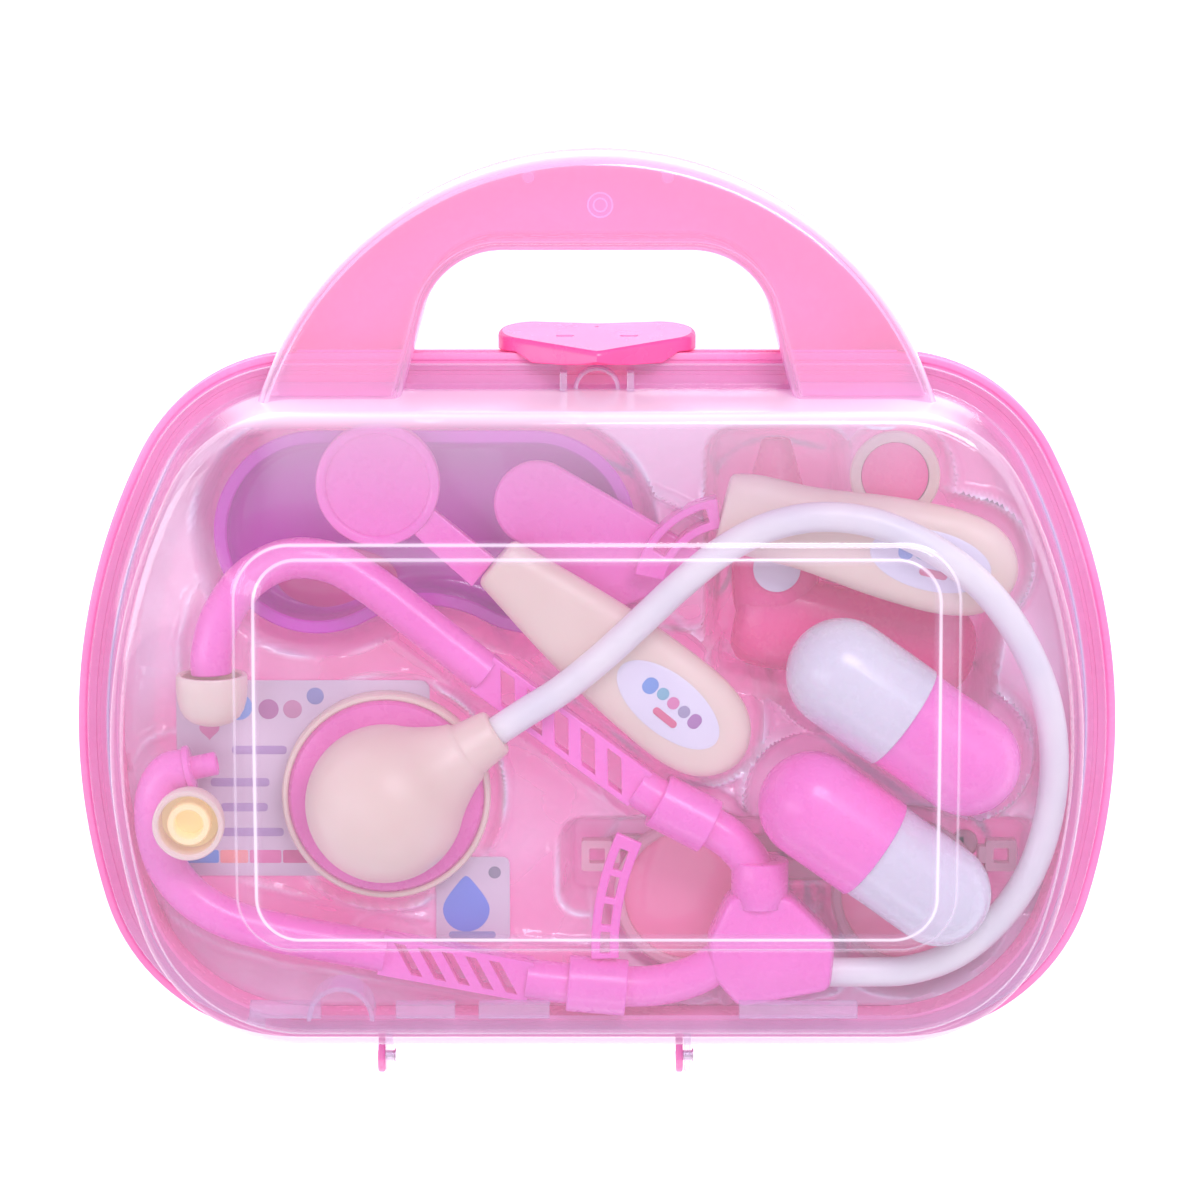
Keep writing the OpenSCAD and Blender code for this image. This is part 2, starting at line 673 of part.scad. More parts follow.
tool_layer = tray_top + 2.2 + rest_gap; // the two long tools lie over the loupe ring
mirror_c = [-55, 54.5];
mirror_grip_c = [5.5, 10];
mirror_turn = -39.5;
mirror_grip_l = 80;
paddle_grip_c = [68.5, 40];
paddle_turn = -13.5;

// tool handle from its narrow socket end to its full round end
module grip(l, w, t, neck) {
    h = l / 2;
    blend([[-h, neck, t * 0.36, 0], [-h + 1.5, neck + 1, t * 0.44, 0], [-h + 8, neck + 1.8, t * 0.46, 0],
        [-h + 22, w * 0.39, t * 0.48, 0], [-h + 40, w * 0.47, t / 2, 0], [h - 20, w / 2, t / 2, 0],
        [h - 10, w * 0.45, t * 0.48, 0], [h - 4, w * 0.34, t * 0.4, 0], [h - 1, w * 0.19, t * 0.26, 0],
        [h, w * 0.08, t * 0.1, 0]], 24);
}

module mirror_grip() color(cream)
    translate([mirror_grip_c[0], mirror_grip_c[1], tool_layer + grip_t / 2])
        rotate(mirror_turn) grip(mirror_grip_l, grip_w, grip_t, 6.5);

module mirror_head() color(tool_pink) {
    z = tool_layer;
    socket = mirror_grip_c - mirror_grip_l / 2 * [cos(mirror_turn), sin(mirror_turn)];
    reach = (socket - mirror_c) * [cos(mirror_turn), sin(mirror_turn)] - mirror_r + 1 - rest_gap;
    translate([mirror_c[0], mirror_c[1], z]) difference() {
        cylinder(h = mirror_t, r = mirror_r, $fn = 72);
        translate([0, 0, mirror_t - 1]) cylinder(h = 2, r = mirror_r - 2.4, $fn = 72);
    }
    translate([mirror_c[0], mirror_c[1], z]) rotate(mirror_turn) translate([mirror_r - 1, -4.4, 0])
        linear_extrude(mirror_t - 0.6) polygon([[0, 0.4], [reach, -0.6], [reach, 8.4], [0, 8.4]]);
}

module paddle_grip() color(cream)
    translate([paddle_grip_c[0], paddle_grip_c[1], tool_layer + grip_t / 2])
        rotate(paddle_turn) grip(76, grip_w, grip_t, 8.5);

// flat blade with a curved arm up to its handle
module paddle_blade() color(tool_pink) translate([0, 0, tool_z]) {
    linear_extrude(3) {
        translate([-15, 49]) circle(r = 11, $fn = 64);
        polygon([[-21.4, 40.1], [6, 22.5], [22, 29], [30, 35], [-9.5, 58.5]]);
    }
    linear_extrude(9) difference() {
        translate([33.5, 27]) circle(r = 24.5, $fn = 96);
        translate([33.5, 27]) circle(r = 17, $fn = 96);
        translate([-20, -20]) square([100, 52]);
        translate([30.2, 20]) square([60, 60]);
    }
}

// ---- capsules ----

module capsule_half(r) {
    rotate_extrude($fn = 72) intersection() {
        union() {
            square([r, capsule_l / 2 - r]);
            translate([0, capsule_l / 2 - r]) circle(r = r, $fn = 72);
        }
        square([r, capsule_l]);
    }
}

module capsule_at(c, r, turn) {
    translate([c[0], c[1], tool_z + r]) rotate([0, 0, turn]) rotate([0, 90, 0]) children();
}

capsule_a = [77, -3.4];
capsule_b = [70.2, -37.4];
capsule_a_turn = -35.6;
capsule_b_turn = -35.6;

module capsule_a_cap() color("white")
    capsule_at(capsule_a, capsule_r, 180 + capsule_a_turn) capsule_half(capsule_r);
module capsule_a_body() color(tool_pink)
    capsule_at(capsule_a, capsule_r, capsule_a_turn) capsule_half(capsule_r - capsule_step);
module capsule_b_cap() color(tool_pink)
    capsule_at(capsule_b, capsule_r, 180 + capsule_b_turn) capsule_half(capsule_r - 0.4);
module capsule_b_body() color("white")
    capsule_at(capsule_b, capsule_r, capsule_b_turn) capsule_half(capsule_r - 0.4 - capsule_step);

// ---- stethoscope ----

disc_z = card_z + card_t + rest_gap;

module bell_disc() color(tool_pink) translate([disc_c[0], disc_c[1], disc_z]) rotate_extrude($fn = 96)
    polygon([[0, 0], [disc_r - 1.65, 0], [disc_r - 1.65, disc_t - 2], [disc_r - 3, disc_t], [0, disc_t]]);

module bell_ring() color(cream) translate([disc_c[0], disc_c[1], disc_z]) difference() {
    cylinder(h = disc_t - 1.6, r = disc_r, $fn = 96);
    translate([0, 0, -1]) cylinder(h = disc_t + 2, r = disc_r - 1.6, $fn = 96);
}

// drop-shaped bell with a collared neck, cut flat where it sits on the disc
module bell_body() color(cream) difference() {
    translate([disc_c[0], disc_c[1], neck_z]) rotate([0, 0, bell_turn]) rotate([0, 90, 0])
        rotate_extrude($fn = 72) bell_profile();
    translate([disc_c[0], disc_c[1], 0]) cylinder(h = disc_z + disc_t + 0.1, r = disc_r + 1, $fn = 96);
    translate([disc_c[0], disc_c[1], neck_z]) rotate([0, 0, bell_turn]) rotate([0, 90, 0])
        translate([0, 0, bell_reach - 6]) cylinder(h = 10, d = hose_d + 0.1, $fn = 48);
}

// half outline of the drop along its own axis
module bell_profile() {
    collar = 7.2;
    polygon(concat([[0, -bell_r]], [for (a = [-80 : 10 : 50]) bell_r * [cos(a), sin(a)]],
        [[9.4, bell_reach - 13], [8.2, bell_reach - 9.4], [collar, bell_reach - 9],
            [collar - 1.4, bell_reach], [0, bell_reach]]));
}

// free hose: bell neck, over both tool handles, round the case wall, into the connector
neck_end = [disc_c[0] + bell_reach * cos(bell_turn), disc_c[1] + bell_reach * sin(bell_turn)];
hose_points = [[-30, -10, 0], [-25, -6.7, 0], [-18, -2, 0.2], [-9, 4, 1.4], [1, 12.5, 3.4],
    [11, 22, 4.4], [21, 31.5, 4.6], [31.5, 40, 4.6], [43, 46, 4.6], [56, 48.4, 4.6], [70, 46.5, 4.6],
    [84, 40, 4.4], [96.5, 30, 3], [106, 17, 0.6], [112.6, 2, -2], [115.4, -14, -4.6],
    [114.6, -30, -7], [110.4, -45, -8.6], [102.6, -57.4, -9.4], [92, -66.6, -9.4], [80, -71, -9.4],
    [68, -71.6, -9.4], [57, -71.6, -9.4]];
hose_steps = 2;

module hose() color("white")
    sweep([for (p = smooth(hose_points, hose_steps)) [p[0], p[1], p[2] + neck_z]], hose_d / 2, 10);

// ear arms: a ring every few millimetres along hand-set points
arm_sides = 14;

// points beyond x = stop spread out or drawn in, so that the one at x = out comes to x = to
function spread(points, stop, out, to) = [for (p = points)
    [stop + (p[0] - stop) * (to - stop) / (out - stop), p[1], p[2]]];

upper_end = spread([[-97, 6.9, tip_z], [-97, 12, tip_z - 0.2], [-94.6, 21, tip_z - 1.2],
    [-88, 30.4, tip_z - 2.6], [-78, 35.8, arm_z + 0.6], [-67, 35, arm_z], [-57, 29.4, arm_z],
    [-47, 21.6, arm_z], [-37, 13.6, arm_z], [-28, 6.4, arm_z]], -28, -97, left + tip_in);
upper_root = [[10, -22.4, arm_z], [18, -27.4, arm_z], [27, -32, arm_z], [34.6, -37, arm_z],
    [39.6, -43.6, arm_z], [41.4, -52, arm_z]];
lower_end = spread([[-104, -18.2, arm_z], [-108.6, -19.2, arm_z], [-111.8, -25, arm_z],
    [-112, -34, arm_z], [-109, -44, arm_z], [-102.4, -52, arm_z], [-92.6, -57.6, arm_z],
    [-80, -61, arm_z], [-66, -63.6, arm_z], [-54, -66, arm_z]], -54, -112, left + bend_in);
lower_root = [[-18, -72.8, arm_z], [-8, -74, arm_z], [4, -74.8, arm_z], [15, -74.6, arm_z],
    [25, -72, arm_z], [33, -67, arm_z]];
lattice_h = 6.6;

// flat ladder between two points, with slanted windows
module ladder(a, b, windows) {
    l = norm(b - a);
    turn = atan2(b[1] - a[1], b[0] - a[0]);
    pitch = (l - 8) / windows;
    translate([a[0], a[1], arm_z - lattice_h / 2]) rotate(turn) difference() {
        translate([0, -arm_d / 2, 0]) cube([l, arm_d, lattice_h]);
        for (i = [0 : windows - 1]) translate([4 + pitch * (i + 0.5), 0, -1]) rotate(28)
            linear_extrude(lattice_h + 2) slot_2d(arm_d * 0.64, pitch * 0.46);
    }
}

module upper_arm() color(tool_pink) {
    sweep(smooth(upper_end, 3), arm_d / 2, arm_sides);
    ladder([-29, 7.2], [11, -23], 5);
    sweep(smooth(upper_root, 3), arm_d / 2, arm_sides);
}

module lower_arm() color(tool_pink) {
    sweep(smooth(lower_end, 3), arm_d / 2, arm_sides);
    ladder([-55, -65.8], [-17, -73], 5);
    sweep(smooth(lower_root, 3), arm_d / 2, arm_sides);
    translate(lower_end[0]) rotate([0, -90, -168]) {
        cylinder(h = 1.6, r = arm_d / 2 + 0.8, $fn = 48);
        cylinder(h = 8, r = 3, $fn = 32);
    }
}

// sleeve round an arm at c, along direction turn
module collar(c, turn) {
    translate([c[0], c[1], arm_z]) rotate([0, 0, turn]) rotate([0, 90, 0]) difference() {
        cylinder(h = collar_l, d = collar_d, center = true, $fn = 64);
        cylinder(h = collar_l + 2, d = arm_d + 0.8, center = true, $fn = 64);
    }
}

upper_collar_c = [22, -29.6];
lower_collar_c = [0, -74.6];

module upper_collar() color(tool_pink) collar(upper_collar_c, -28);
module lower_collar() color(tool_pink) collar(lower_collar_c, -5);

// slotted strap that ties the two arms
module arm_strap() color(tool_pink) {
    r = 70; // bend of the strap
    w = 7;
    turn = [155.6, 182]; // first and last angle of the strap
    translate([72, -64.4, arm_z + 1]) difference() {
        rotate(turn[0]) rotate_extrude(angle = turn[1] - turn[0] , $fn = 180)
            translate([r - w / 2, 0]) square([w, 2]);
        for (i = [0 : 3]) rotate(turn[0] + 5 + i * 6) translate([r, 0, -1])
            rotate(90) linear_extrude(4) slot_2d(5, 2.6);
    }
}

module y_connector() color(tool_pink) {
    low = tool_z;
    difference() {
        union() {
            translate([0, 0, low]) linear_extrude(13) polygon([[28, -62], [33.6, -50], [49, -50],
                [60.6, -62], [59.4, -75], [36, -79.4], [29, -71]]);
            translate([41.4, -47.6, arm_z]) rotate([90, 0, 0])
                cylinder(h = 12, d = arm_d + 4.2, center = true, $fn = 64);
        }
        sweep(smooth(upper_root, 3), arm_d / 2 + 0.1, arm_sides);
        sweep(smooth(lower_root, 3), arm_d / 2 + 0.1, arm_sides);
        translate([56.5, -71.6, neck_z - 9.4]) rotate([0, 90, 0])
            cylinder(h = 20, d = hose_d + 0.1, $fn = 48);
    }
}

module tip_shape() {
    difference() {
        rotate_extrude($fn = 64) polygon([[0, 0], [tip_r * 0.5, 0.5], [tip_r * 0.84, 3], [tip_r - 0.4, 6],
            [tip_r, 9], [tip_r, 13], [0, 13]]);
        translate([0, 0, 4]) difference() {
            cylinder(h = 12, r = tip_r - 1.5, $fn = 64);
            cylinder(h = 8, r = 5.4, $fn = 48);
        }
        translate([0, 0, 5]) cylinder(h = 12, r = 3.6, $fn = 48);
    }
}

module ear_tip() color(cream) difference() {
    translate([upper_end[0][0], -6.2, tip_z]) rotate([-90, 0, 0]) tip_shape();
    translate([upper_end[0][0], 0, tip_z]) rotate([-90, 0, 0])
        cylinder(h = 9, r = arm_d / 2 + 0.3, $fn = 48);
}

// stands in the bend of the lower arm and leans on it
module loose_ear_tip() color(cream)
    translate([left + loose_tip_in, -29.4, arm_z + arm_d / 2 + rest_gap - tip_sunk]) tip_shape();

base_shell();
lid_shell();
latch();
latch_pin();
hinge_pins();
tray();
kidney_dish();
name_card();
small_card();
spectacle_frame();
spectacle_lenses();
spectacle_temples();
scope_body();
scope_cone();
scope_window();
loupe_ring();
loupe_lens();
mirror_head();
mirror_grip();
paddle_blade();
paddle_grip();
capsule_a_cap();
capsule_a_body();
capsule_b_cap();
capsule_b_body();
bell_disc();
bell_ring();
bell_body();
hose();
y_connector();
upper_arm();
lower_arm();
upper_collar();
lower_collar();
arm_strap();
ear_tip();
loose_ear_tip();
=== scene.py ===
# Toy doctor case on its back, seen through its clear lid. Lengths in this file are millimetres.
import math
import bpy
import bmesh
import numpy as np
from mathutils import Matrix, Vector, noise


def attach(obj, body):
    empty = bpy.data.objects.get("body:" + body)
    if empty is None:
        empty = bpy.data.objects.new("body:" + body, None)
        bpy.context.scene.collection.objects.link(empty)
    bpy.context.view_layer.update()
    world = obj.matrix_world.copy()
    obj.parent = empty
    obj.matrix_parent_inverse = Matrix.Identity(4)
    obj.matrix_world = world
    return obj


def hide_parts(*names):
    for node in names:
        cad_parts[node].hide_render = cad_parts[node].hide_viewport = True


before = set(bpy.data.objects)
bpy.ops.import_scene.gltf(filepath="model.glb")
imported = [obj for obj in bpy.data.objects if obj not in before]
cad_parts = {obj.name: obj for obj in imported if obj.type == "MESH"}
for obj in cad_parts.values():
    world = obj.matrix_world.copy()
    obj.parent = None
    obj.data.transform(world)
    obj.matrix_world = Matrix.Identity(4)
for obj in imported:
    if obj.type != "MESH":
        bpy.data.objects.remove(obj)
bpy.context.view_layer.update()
print("stage 1: frame loaded")

# ---- camera ----

view = {"target": (0.75, 26.5, 40), "distance": 1100, "tilt": 10, "lens": 132}


def aimCamera():
    tilt = math.radians(view["tilt"])
    back = Vector((0, math.sin(tilt), math.cos(tilt)))
    up = Vector((0, math.cos(tilt), -math.sin(tilt)))
    camera = bpy.data.objects.new("camera", bpy.data.cameras.new("camera"))
    camera.data.sensor_width = 36
    camera.data.lens = view["lens"]
    camera.data.clip_end = 10
    camera.location = (Vector(view["target"]) + back * view["distance"]) / 1000
    camera.rotation_mode = "QUATERNION"
    camera.rotation_quaternion = Matrix((Vector((1, 0, 0)), up, back)).transposed().to_quaternion()
    bpy.context.scene.collection.objects.link(camera)
    bpy.context.scene.camera = camera


aimCamera()

# ---- materials ----


def shade(r, g, b):  # screen colour, 0 to 255, to the linear colour a shader takes
    return tuple((c / 255 / 12.92) if c / 255 <= 0.04045 else ((c / 255 + 0.055) / 1.055) ** 2.4
                 for c in (r, g, b)) + (1,)


class Nodes:  # short way to place and link shader nodes
    def __init__(self, name):
        self.material = bpy.data.materials.new(name)
        self.material.use_nodes = True
        self.tree = self.material.node_tree
        self.tree.nodes.clear()
        self.output = self.tree.nodes.new("ShaderNodeOutputMaterial")

    def add(self, kind, settings=None, **inputs):
        node = self.tree.nodes.new("ShaderNode" + kind)
        for key, value in (settings or {}).items():
            setattr(node, key, value)
        for key, value in inputs.items():
            self.feed(node, key.replace("_", " "), value)
        return node

    def feed(self, node, socket, value):
        socket = node.inputs[socket]
        if isinstance(value, bpy.types.NodeSocket):
            self.tree.links.new(value, socket)
        else:
            socket.default_value = value

    def math(self, operation, a, b=0.0, c=0.0):
        node = self.add("Math", {"operation": operation})
        for i, value in enumerate((a, b, c)):
            self.feed(node, i, value)
        return node.outputs[0]

    def remap(self, value, low, high, toLow, toHigh):
        node = self.add("MapRange", Value=value)
        for key, number in (("From Min", low), ("From Max", high), ("To Min", toLow), ("To Max", toHigh)):
            node.inputs[key].default_value = number
        return node.outputs[0]

    def noise(self, scale, detail=3.0, roughness=0.5):
        coordinates = self.add("TexCoord").outputs["Object"]
        return self.add("TexNoise", Vector=coordinates, Scale=scale, Detail=detail,
                        Roughness=roughness).outputs["Fac"]

    def between(self, amount, first, second):
        node = self.add("Mix", {"data_type": "RGBA"})
        for key, value in ((0, amount), (6, first), (7, second)):
            self.feed(node, key, value)
        return node.outputs[2]

    def bump(self, height, strength, distance):
        return self.add("Bump", Height=height, Strength=strength, Distance=distance).outputs[0]

    def mixShaders(self, amount, first, second):
        node = self.add("MixShader")
        for key, value in ((0, amount), (1, first), (2, second)):
            self.feed(node, key, value)
        return node.outputs[0]

    def finish(self, shader):
        self.tree.links.new(shader, self.output.inputs["Surface"])
        return self.material


def mouldedPlastic(name, colour, deep, rough=0.26, glow=0.0, soft=0.0, grain=0.02, coat=0.0, lift=0.0):
    n = Nodes(name)
    drift = n.remap(n.noise(38, 2), 0.35, 0.65, 0, 1)
    base = n.between(drift, shade(*colour), shade(*deep))
    shiny = n.remap(n.noise(260, 4), 0.3, 0.7, rough - 0.05, rough + 0.08)
    flow = n.bump(n.noise(1500, 2), grain, 0.0002)
    body = n.add("BsdfPrincipled", Base_Color=base, Roughness=shiny, Normal=flow)
    n.feed(body, "Emission Color", base)  # painted glow: the base colour emitted at lift strength, brightening the part out of shade
    body.inputs["Emission Strength"].default_value = lift
    body.inputs["Coat Weight"].default_value = coat
    if soft:
        body.inputs["Subsurface Weight"].default_value = soft
        body.inputs["Subsurface Radius"].default_value = (1, 0.5, 0.7)
        body.inputs["Subsurface Scale"].default_value = 0.004
    if not glow:
        return n.finish(body.outputs[0])
    through = n.add("BsdfTranslucent", Color=base, Normal=flow)
    return n.finish(n.mixShaders(glow, body.outputs[0], through.outputs[0]))


def clearPlastic(name, tint, milk, haze=(0.05, 0.55), power=2.2, rough=0.06, wave=0.0, waveScale=60,
                 edge=0.0, patches=0.0, paintedEdgeShade=0.0, dense=None, side=None, gloss=0.9, lift=0.0):
    n = Nodes(name)
    facing = n.add("LayerWeight", Blend=0.5).outputs["Facing"]
    bend = n.math("POWER", facing, power)
    cover = n.remap(bend, 0, 1, haze[0], haze[1])
    if patches:
        cloud = n.remap(n.noise(18, 2), 0.42, 0.66, 0, patches)
        cover = n.math("ADD", cover, cloud)
    colour = n.between(bend, shade(*milk), shade(*(side or tint)))
    # painted highlight: the edge attribute whitens the colour and thickens the haze along drawn lines
    if edge:
        drawn = n.add("Attribute", {"attribute_name": "edge"}).outputs["Fac"]
        cover = n.math("MULTIPLY_ADD", drawn, edge, cover)
        colour = n.between(n.math("MINIMUM", drawn, 1), colour, shade(250, 240, 254))
    if paintedEdgeShade:  # painted shade: bluish line where the wall is seen edge on
        drawn = n.add("Attribute", {"attribute_name": "paintedEdgeShade"}).outputs["Fac"]
        cover = n.math("MULTIPLY_ADD", drawn, paintedEdgeShade, cover)
        colour = n.between(n.math("MINIMUM", drawn, 1), colour, shade(186, 172, 212))
    normal = {}
    if wave:
        normal = {"Normal": n.bump(n.noise(waveScale, 4, 0.55), wave, 0.002)}
    body = n.add("BsdfPrincipled", Base_Color=colour, Roughness=0.2, **normal)
    # painted glow: the colour emitted at lift strength, brightening the part out of shade
    n.feed(body, "Emission Color", colour)
    body.inputs["Emission Strength"].default_value = lift
    film = n.add("BsdfTransparent", Color=n.between(bend, shade(*tint), shade(*(dense or tint))))
    dull = n.mixShaders(n.math("MINIMUM", cover, 0.96), film.outputs[0], body.outputs[0])
    mirror = n.add("BsdfGlossy", Color=(1, 1, 1, 1), Roughness=rough, **normal)
    schlick = n.math("MULTIPLY_ADD", n.math("POWER", facing, 5), gloss, 0.05)
    return n.finish(n.mixShaders(n.math("MINIMUM", schlick, 0.6), dull, mirror.outputs[0]))


def steelWire(name):
    n = Nodes(name)
    drawn = n.remap(n.noise(900, 3), 0.3, 0.7, 0.22, 0.4)
    body = n.add("BsdfPrincipled", Base_Color=n.between(n.noise(120), shade(238, 222, 234), shade(222, 204, 220)),
                 Roughness=drawn)
    body.inputs["Metallic"].default_value = 1
    return n.finish(body.outputs[0])


def softTube(name, colour, shadow):
    n = Nodes(name)
    base = n.between(n.remap(n.noise(45, 3), 0.35, 0.7, 0, 1), shade(*colour), shade(*shadow))
    body = n.add("BsdfPrincipled", Base_Color=base, Roughness=n.remap(n.noise(500), 0.3, 0.7, 0.3, 0.42),
                 Normal=n.bump(n.noise(2200, 2), 0.04, 0.0002))
    body.inputs["Subsurface Weight"].default_value = 0.3
    body.inputs["Subsurface Radius"].default_value = (1, 1, 1)
    body.inputs["Subsurface Scale"].default_value = 0.003
    return n.finish(body.outputs[0])


# lift sets each material's painted glow: emission that brightens the part out of shade
casePink = mouldedPlastic("casePink", (255, 164, 218), (255, 152, 212), rough=0.24, glow=0.3)
# the latch's pink as a paler copy for its face (painted highlight) and a deeper copy for its skirt (painted shade,
# with painted glow)
latchLitPink = mouldedPlastic("latchLitPink", (255, 180, 234), (255, 170, 228), rough=0.22, glow=0.2, coat=0.3)
latchShadedPink = mouldedPlastic("latchShadedPink", (255, 98, 170), (255, 88, 162), rough=0.24, glow=0.2, coat=0.2, lift=0.12)
# deeper pink with strong emission: a painted glow on the leg steps and catch plate, which sit in shade under the
# lid's flange
legGlowPink = mouldedPlastic("legGlowPink", (255, 118, 188), (255, 108, 182), rough=0.24, glow=0.2, lift=0.4)
# pale pink with strong emission: painted glow lifting the pin marks out of shade
markGlowPink = mouldedPlastic("markGlowPink", (255, 186, 232), (255, 176, 228), rough=0.3, lift=0.4)
discPink = mouldedPlastic("discPink", (236, 112, 188), (228, 102, 180), rough=0.27, soft=0.2, lift=0.05)
toolPink = mouldedPlastic("toolPink", (248, 118, 206), (244, 108, 200), rough=0.27, soft=0.25, coat=0.2, lift=0.07)
deepPink = mouldedPlastic("deepPink", (244, 84, 156), (236, 74, 146), rough=0.25, soft=0.2, coat=0.2, lift=0.1)
cream = mouldedPlastic("cream", (236, 214, 200), (230, 206, 190), rough=0.36, soft=0.3, lift=0.03)
creamInside = mouldedPlastic("creamInside", (250, 228, 172), (244, 214, 152), rough=0.4, soft=0.3, lift=0.25)
capsuleWhite = mouldedPlastic("capsuleWhite", (224, 222, 230), (219, 217, 228), rough=0.25, soft=0.3, coat=0.3)
palePink = mouldedPlastic("palePink", (255, 214, 226), (252, 200, 216), rough=0.3, glow=0.3)
cardPaper = mouldedPlastic("cardPaper", (222, 202, 216), (212, 192, 208), rough=0.45, grain=0.05)
labelFilm = mouldedPlastic("labelFilm", (232, 228, 240), (224, 218, 236), rough=0.32)
hoseWhite = softTube("hoseWhite", (242, 240, 238), (228, 228, 232))
lidClear = clearPlastic("lidClear", (249, 248, 252), (240, 214, 246), haze=(0.03, 0.4), edge=0.8, paintedEdgeShade=0.8,
                        dense=(238, 232, 243), side=(220, 184, 214), gloss=0.4)
handleClear = clearPlastic("handleClear", (255, 238, 250), (255, 212, 248), haze=(0.18, 0.75), power=1.6, edge=0.1,
                           dense=(248, 200, 238), side=(250, 206, 244), gloss=0.35)
blisterClear = clearPlastic("blisterClear", (253, 249, 254), (250, 236, 253), haze=(0.24, 0.6), power=1.5,
                            wave=0.5, waveScale=55, patches=0.4, edge=0.8)
dishPurple = clearPlastic("dishPurple", (236, 90, 228), (220, 30, 206), haze=(0.84, 0.95), power=1.4,
                          side=(206, 50, 196), gloss=0.3, lift=0.07)
# deeper purple for the painted shadow sheet inside the dish
dishShadowPurple = clearPlastic("dishShadowPurple", (252, 90, 200), (240, 40, 170), haze=(0.75, 0.92),
                        power=1.4, gloss=0.3, lift=0.12)
lensPink = clearPlastic("lensPink", (255, 205, 228), (255, 150, 192), haze=(0.82, 0.92), gloss=0.4, lift=0.12)
inks = {name: mouldedPlastic(name, colour, tuple(int(c * 0.96) for c in colour), rough=0.42) for name, colour in
        (("inkBlue", (120, 160, 225)), ("inkTeal", (130, 186, 206)), ("inkRose", (226, 130, 180)),
         ("inkGrey", (168, 158, 190)), ("inkPlum", (176, 120, 180)), ("inkRed", (226, 110, 146)))}
pinSteel = steelWire("pinSteel")
print("stage 2: materials")

# ---- mesh helpers: every part is (points, faces) ----


def arcPoints(centre, r, a, b, n):
    return [(centre[0] + r * math.cos(math.radians(a + (b - a) * i / n)),
             centre[1] + r * math.sin(math.radians(a + (b - a) * i / n))) for i in range(n + 1)]


def atHeight(points, z):
    return [(p[0], p[1], z) for p in points]


def loft(rings, folded=False, capped=True):
    n = len(rings[0])
    faces = [(k * n + i, k * n + (i + 1) % n, (k + 1) * n + (i + 1) % n, (k + 1) * n + i)
             for k in range(len(rings) - 1) for i in range(n)]
    for k in (0, len(rings) - 1) if capped else ():
        if folded:  # strips across an outline that folds back on itself
            faces += [(k * n + i, k * n + i + 1, k * n + n - 2 - i, k * n + n - 1 - i) for i in range(n // 2 - 1)]
        else:
            faces.append(tuple(k * n + i for i in range(n)))
    return [p for r in rings for p in r], faces


def lathe(profile, place=Matrix(), sides=72):
    rings = [[(r * math.cos(2 * math.pi * i / sides), r * math.sin(2 * math.pi * i / sides), h)
              for i in range(sides)] for r, h in profile]
    points, faces = loft(rings)
    return [tuple(place @ Vector(p)) for p in points], faces


def unit(v):
    return v / np.linalg.norm(v)


def smoothPath(points, k):
    p = np.array(points, float)
    n = len(p)
    made = []
    for i in range(n - 1):
        a, b, c, d = p[max(i - 1, 0)], p[i], p[i + 1], p[min(i + 2, n - 1)]
        for j in range(k):
            t = j / k
            made.append(0.5 * (2 * b + (c - a) * t + (2 * a - 5 * b + 4 * c - d) * t * t
                               + (3 * b - a - 3 * c + d) * t ** 3))
    return made + [p[-1]]


def sweep(path, radius, sides=28):
    rings = []
    for i, centre in enumerate(path):
        t = unit(path[min(i + 1, len(path) - 1)] - path[max(i - 1, 0)])
        u = unit(np.cross((0, 0, 1), t))
        v = np.cross(t, u)
        r = radius[i] if hasattr(radius, "__len__") else radius
        rings.append([tuple(centre + r * (math.cos(a) * u + math.sin(a) * v))
                      for a in (2 * math.pi * k / sides for k in range(sides))])
    return loft(rings)


def grown(outline, d):  # closed outline moved outwards by d along its own normals
    p = np.array(outline, float)
    along = np.roll(p, -1, 0) - np.roll(p, 1, 0)
    side = np.stack([along[:, 1], -along[:, 0]], 1)
    side /= np.linalg.norm(side, axis=1)[:, None]
    area = np.sum(p[:, 0] * np.roll(p[:, 1], -1) - np.roll(p[:, 0], -1) * p[:, 1])
    return [tuple(q) for q in p + side * d * (1 if area > 0 else -1)]


def slab(outline, low, high, round=0.6):  # plate with rounded edges
    c = round * 0.3
    rings = [(-round, low), (-c, low + c), (0, low + round), (0, high - round), (-c, high - c), (-round, high)]
    return loft([atHeight(grown(outline, d), z) for d, z in rings])


def plate(outer, holes, low, high):  # plate with holes, square edges
    flat = bmesh.new()
    for loop in (outer, *holes):
        corners = [flat.verts.new((x, y, low)) for x, y in loop]
        for i, v in enumerate(corners):
            flat.edges.new((v, corners[(i + 1) % len(corners)]))
    bmesh.ops.triangle_fill(flat, edges=flat.edges[:], use_beauty=True)
    flat.verts.index_update()
    n = len(flat.verts)
    points = [tuple(v.co) for v in flat.verts]
    faces = [tuple(v.index for v in f.verts) for f in flat.faces]
    flat.free()
    points += [(x, y, high) for x, y, z in points]
    faces += [tuple(i + n for i in f) for f in faces]
    start = 0
    for loop in (outer, *holes):
        k = len(loop)
        faces += [(start + i, start + (i + 1) % k, n + start + (i + 1) % k, n + start + i) for i in range(k)]
        start += k
    return points, faces


def moved(part, place):
    return [tuple(place @ Vector(p)) for p in part[0]], part[1]


def turned(x, y, z, degrees):
    return Matrix.Translation((x, y, z)) @ Matrix.Rotation(math.radians(degrees), 4, "Z")


alongX = Matrix.Rotation(math.radians(90), 4, "Y")


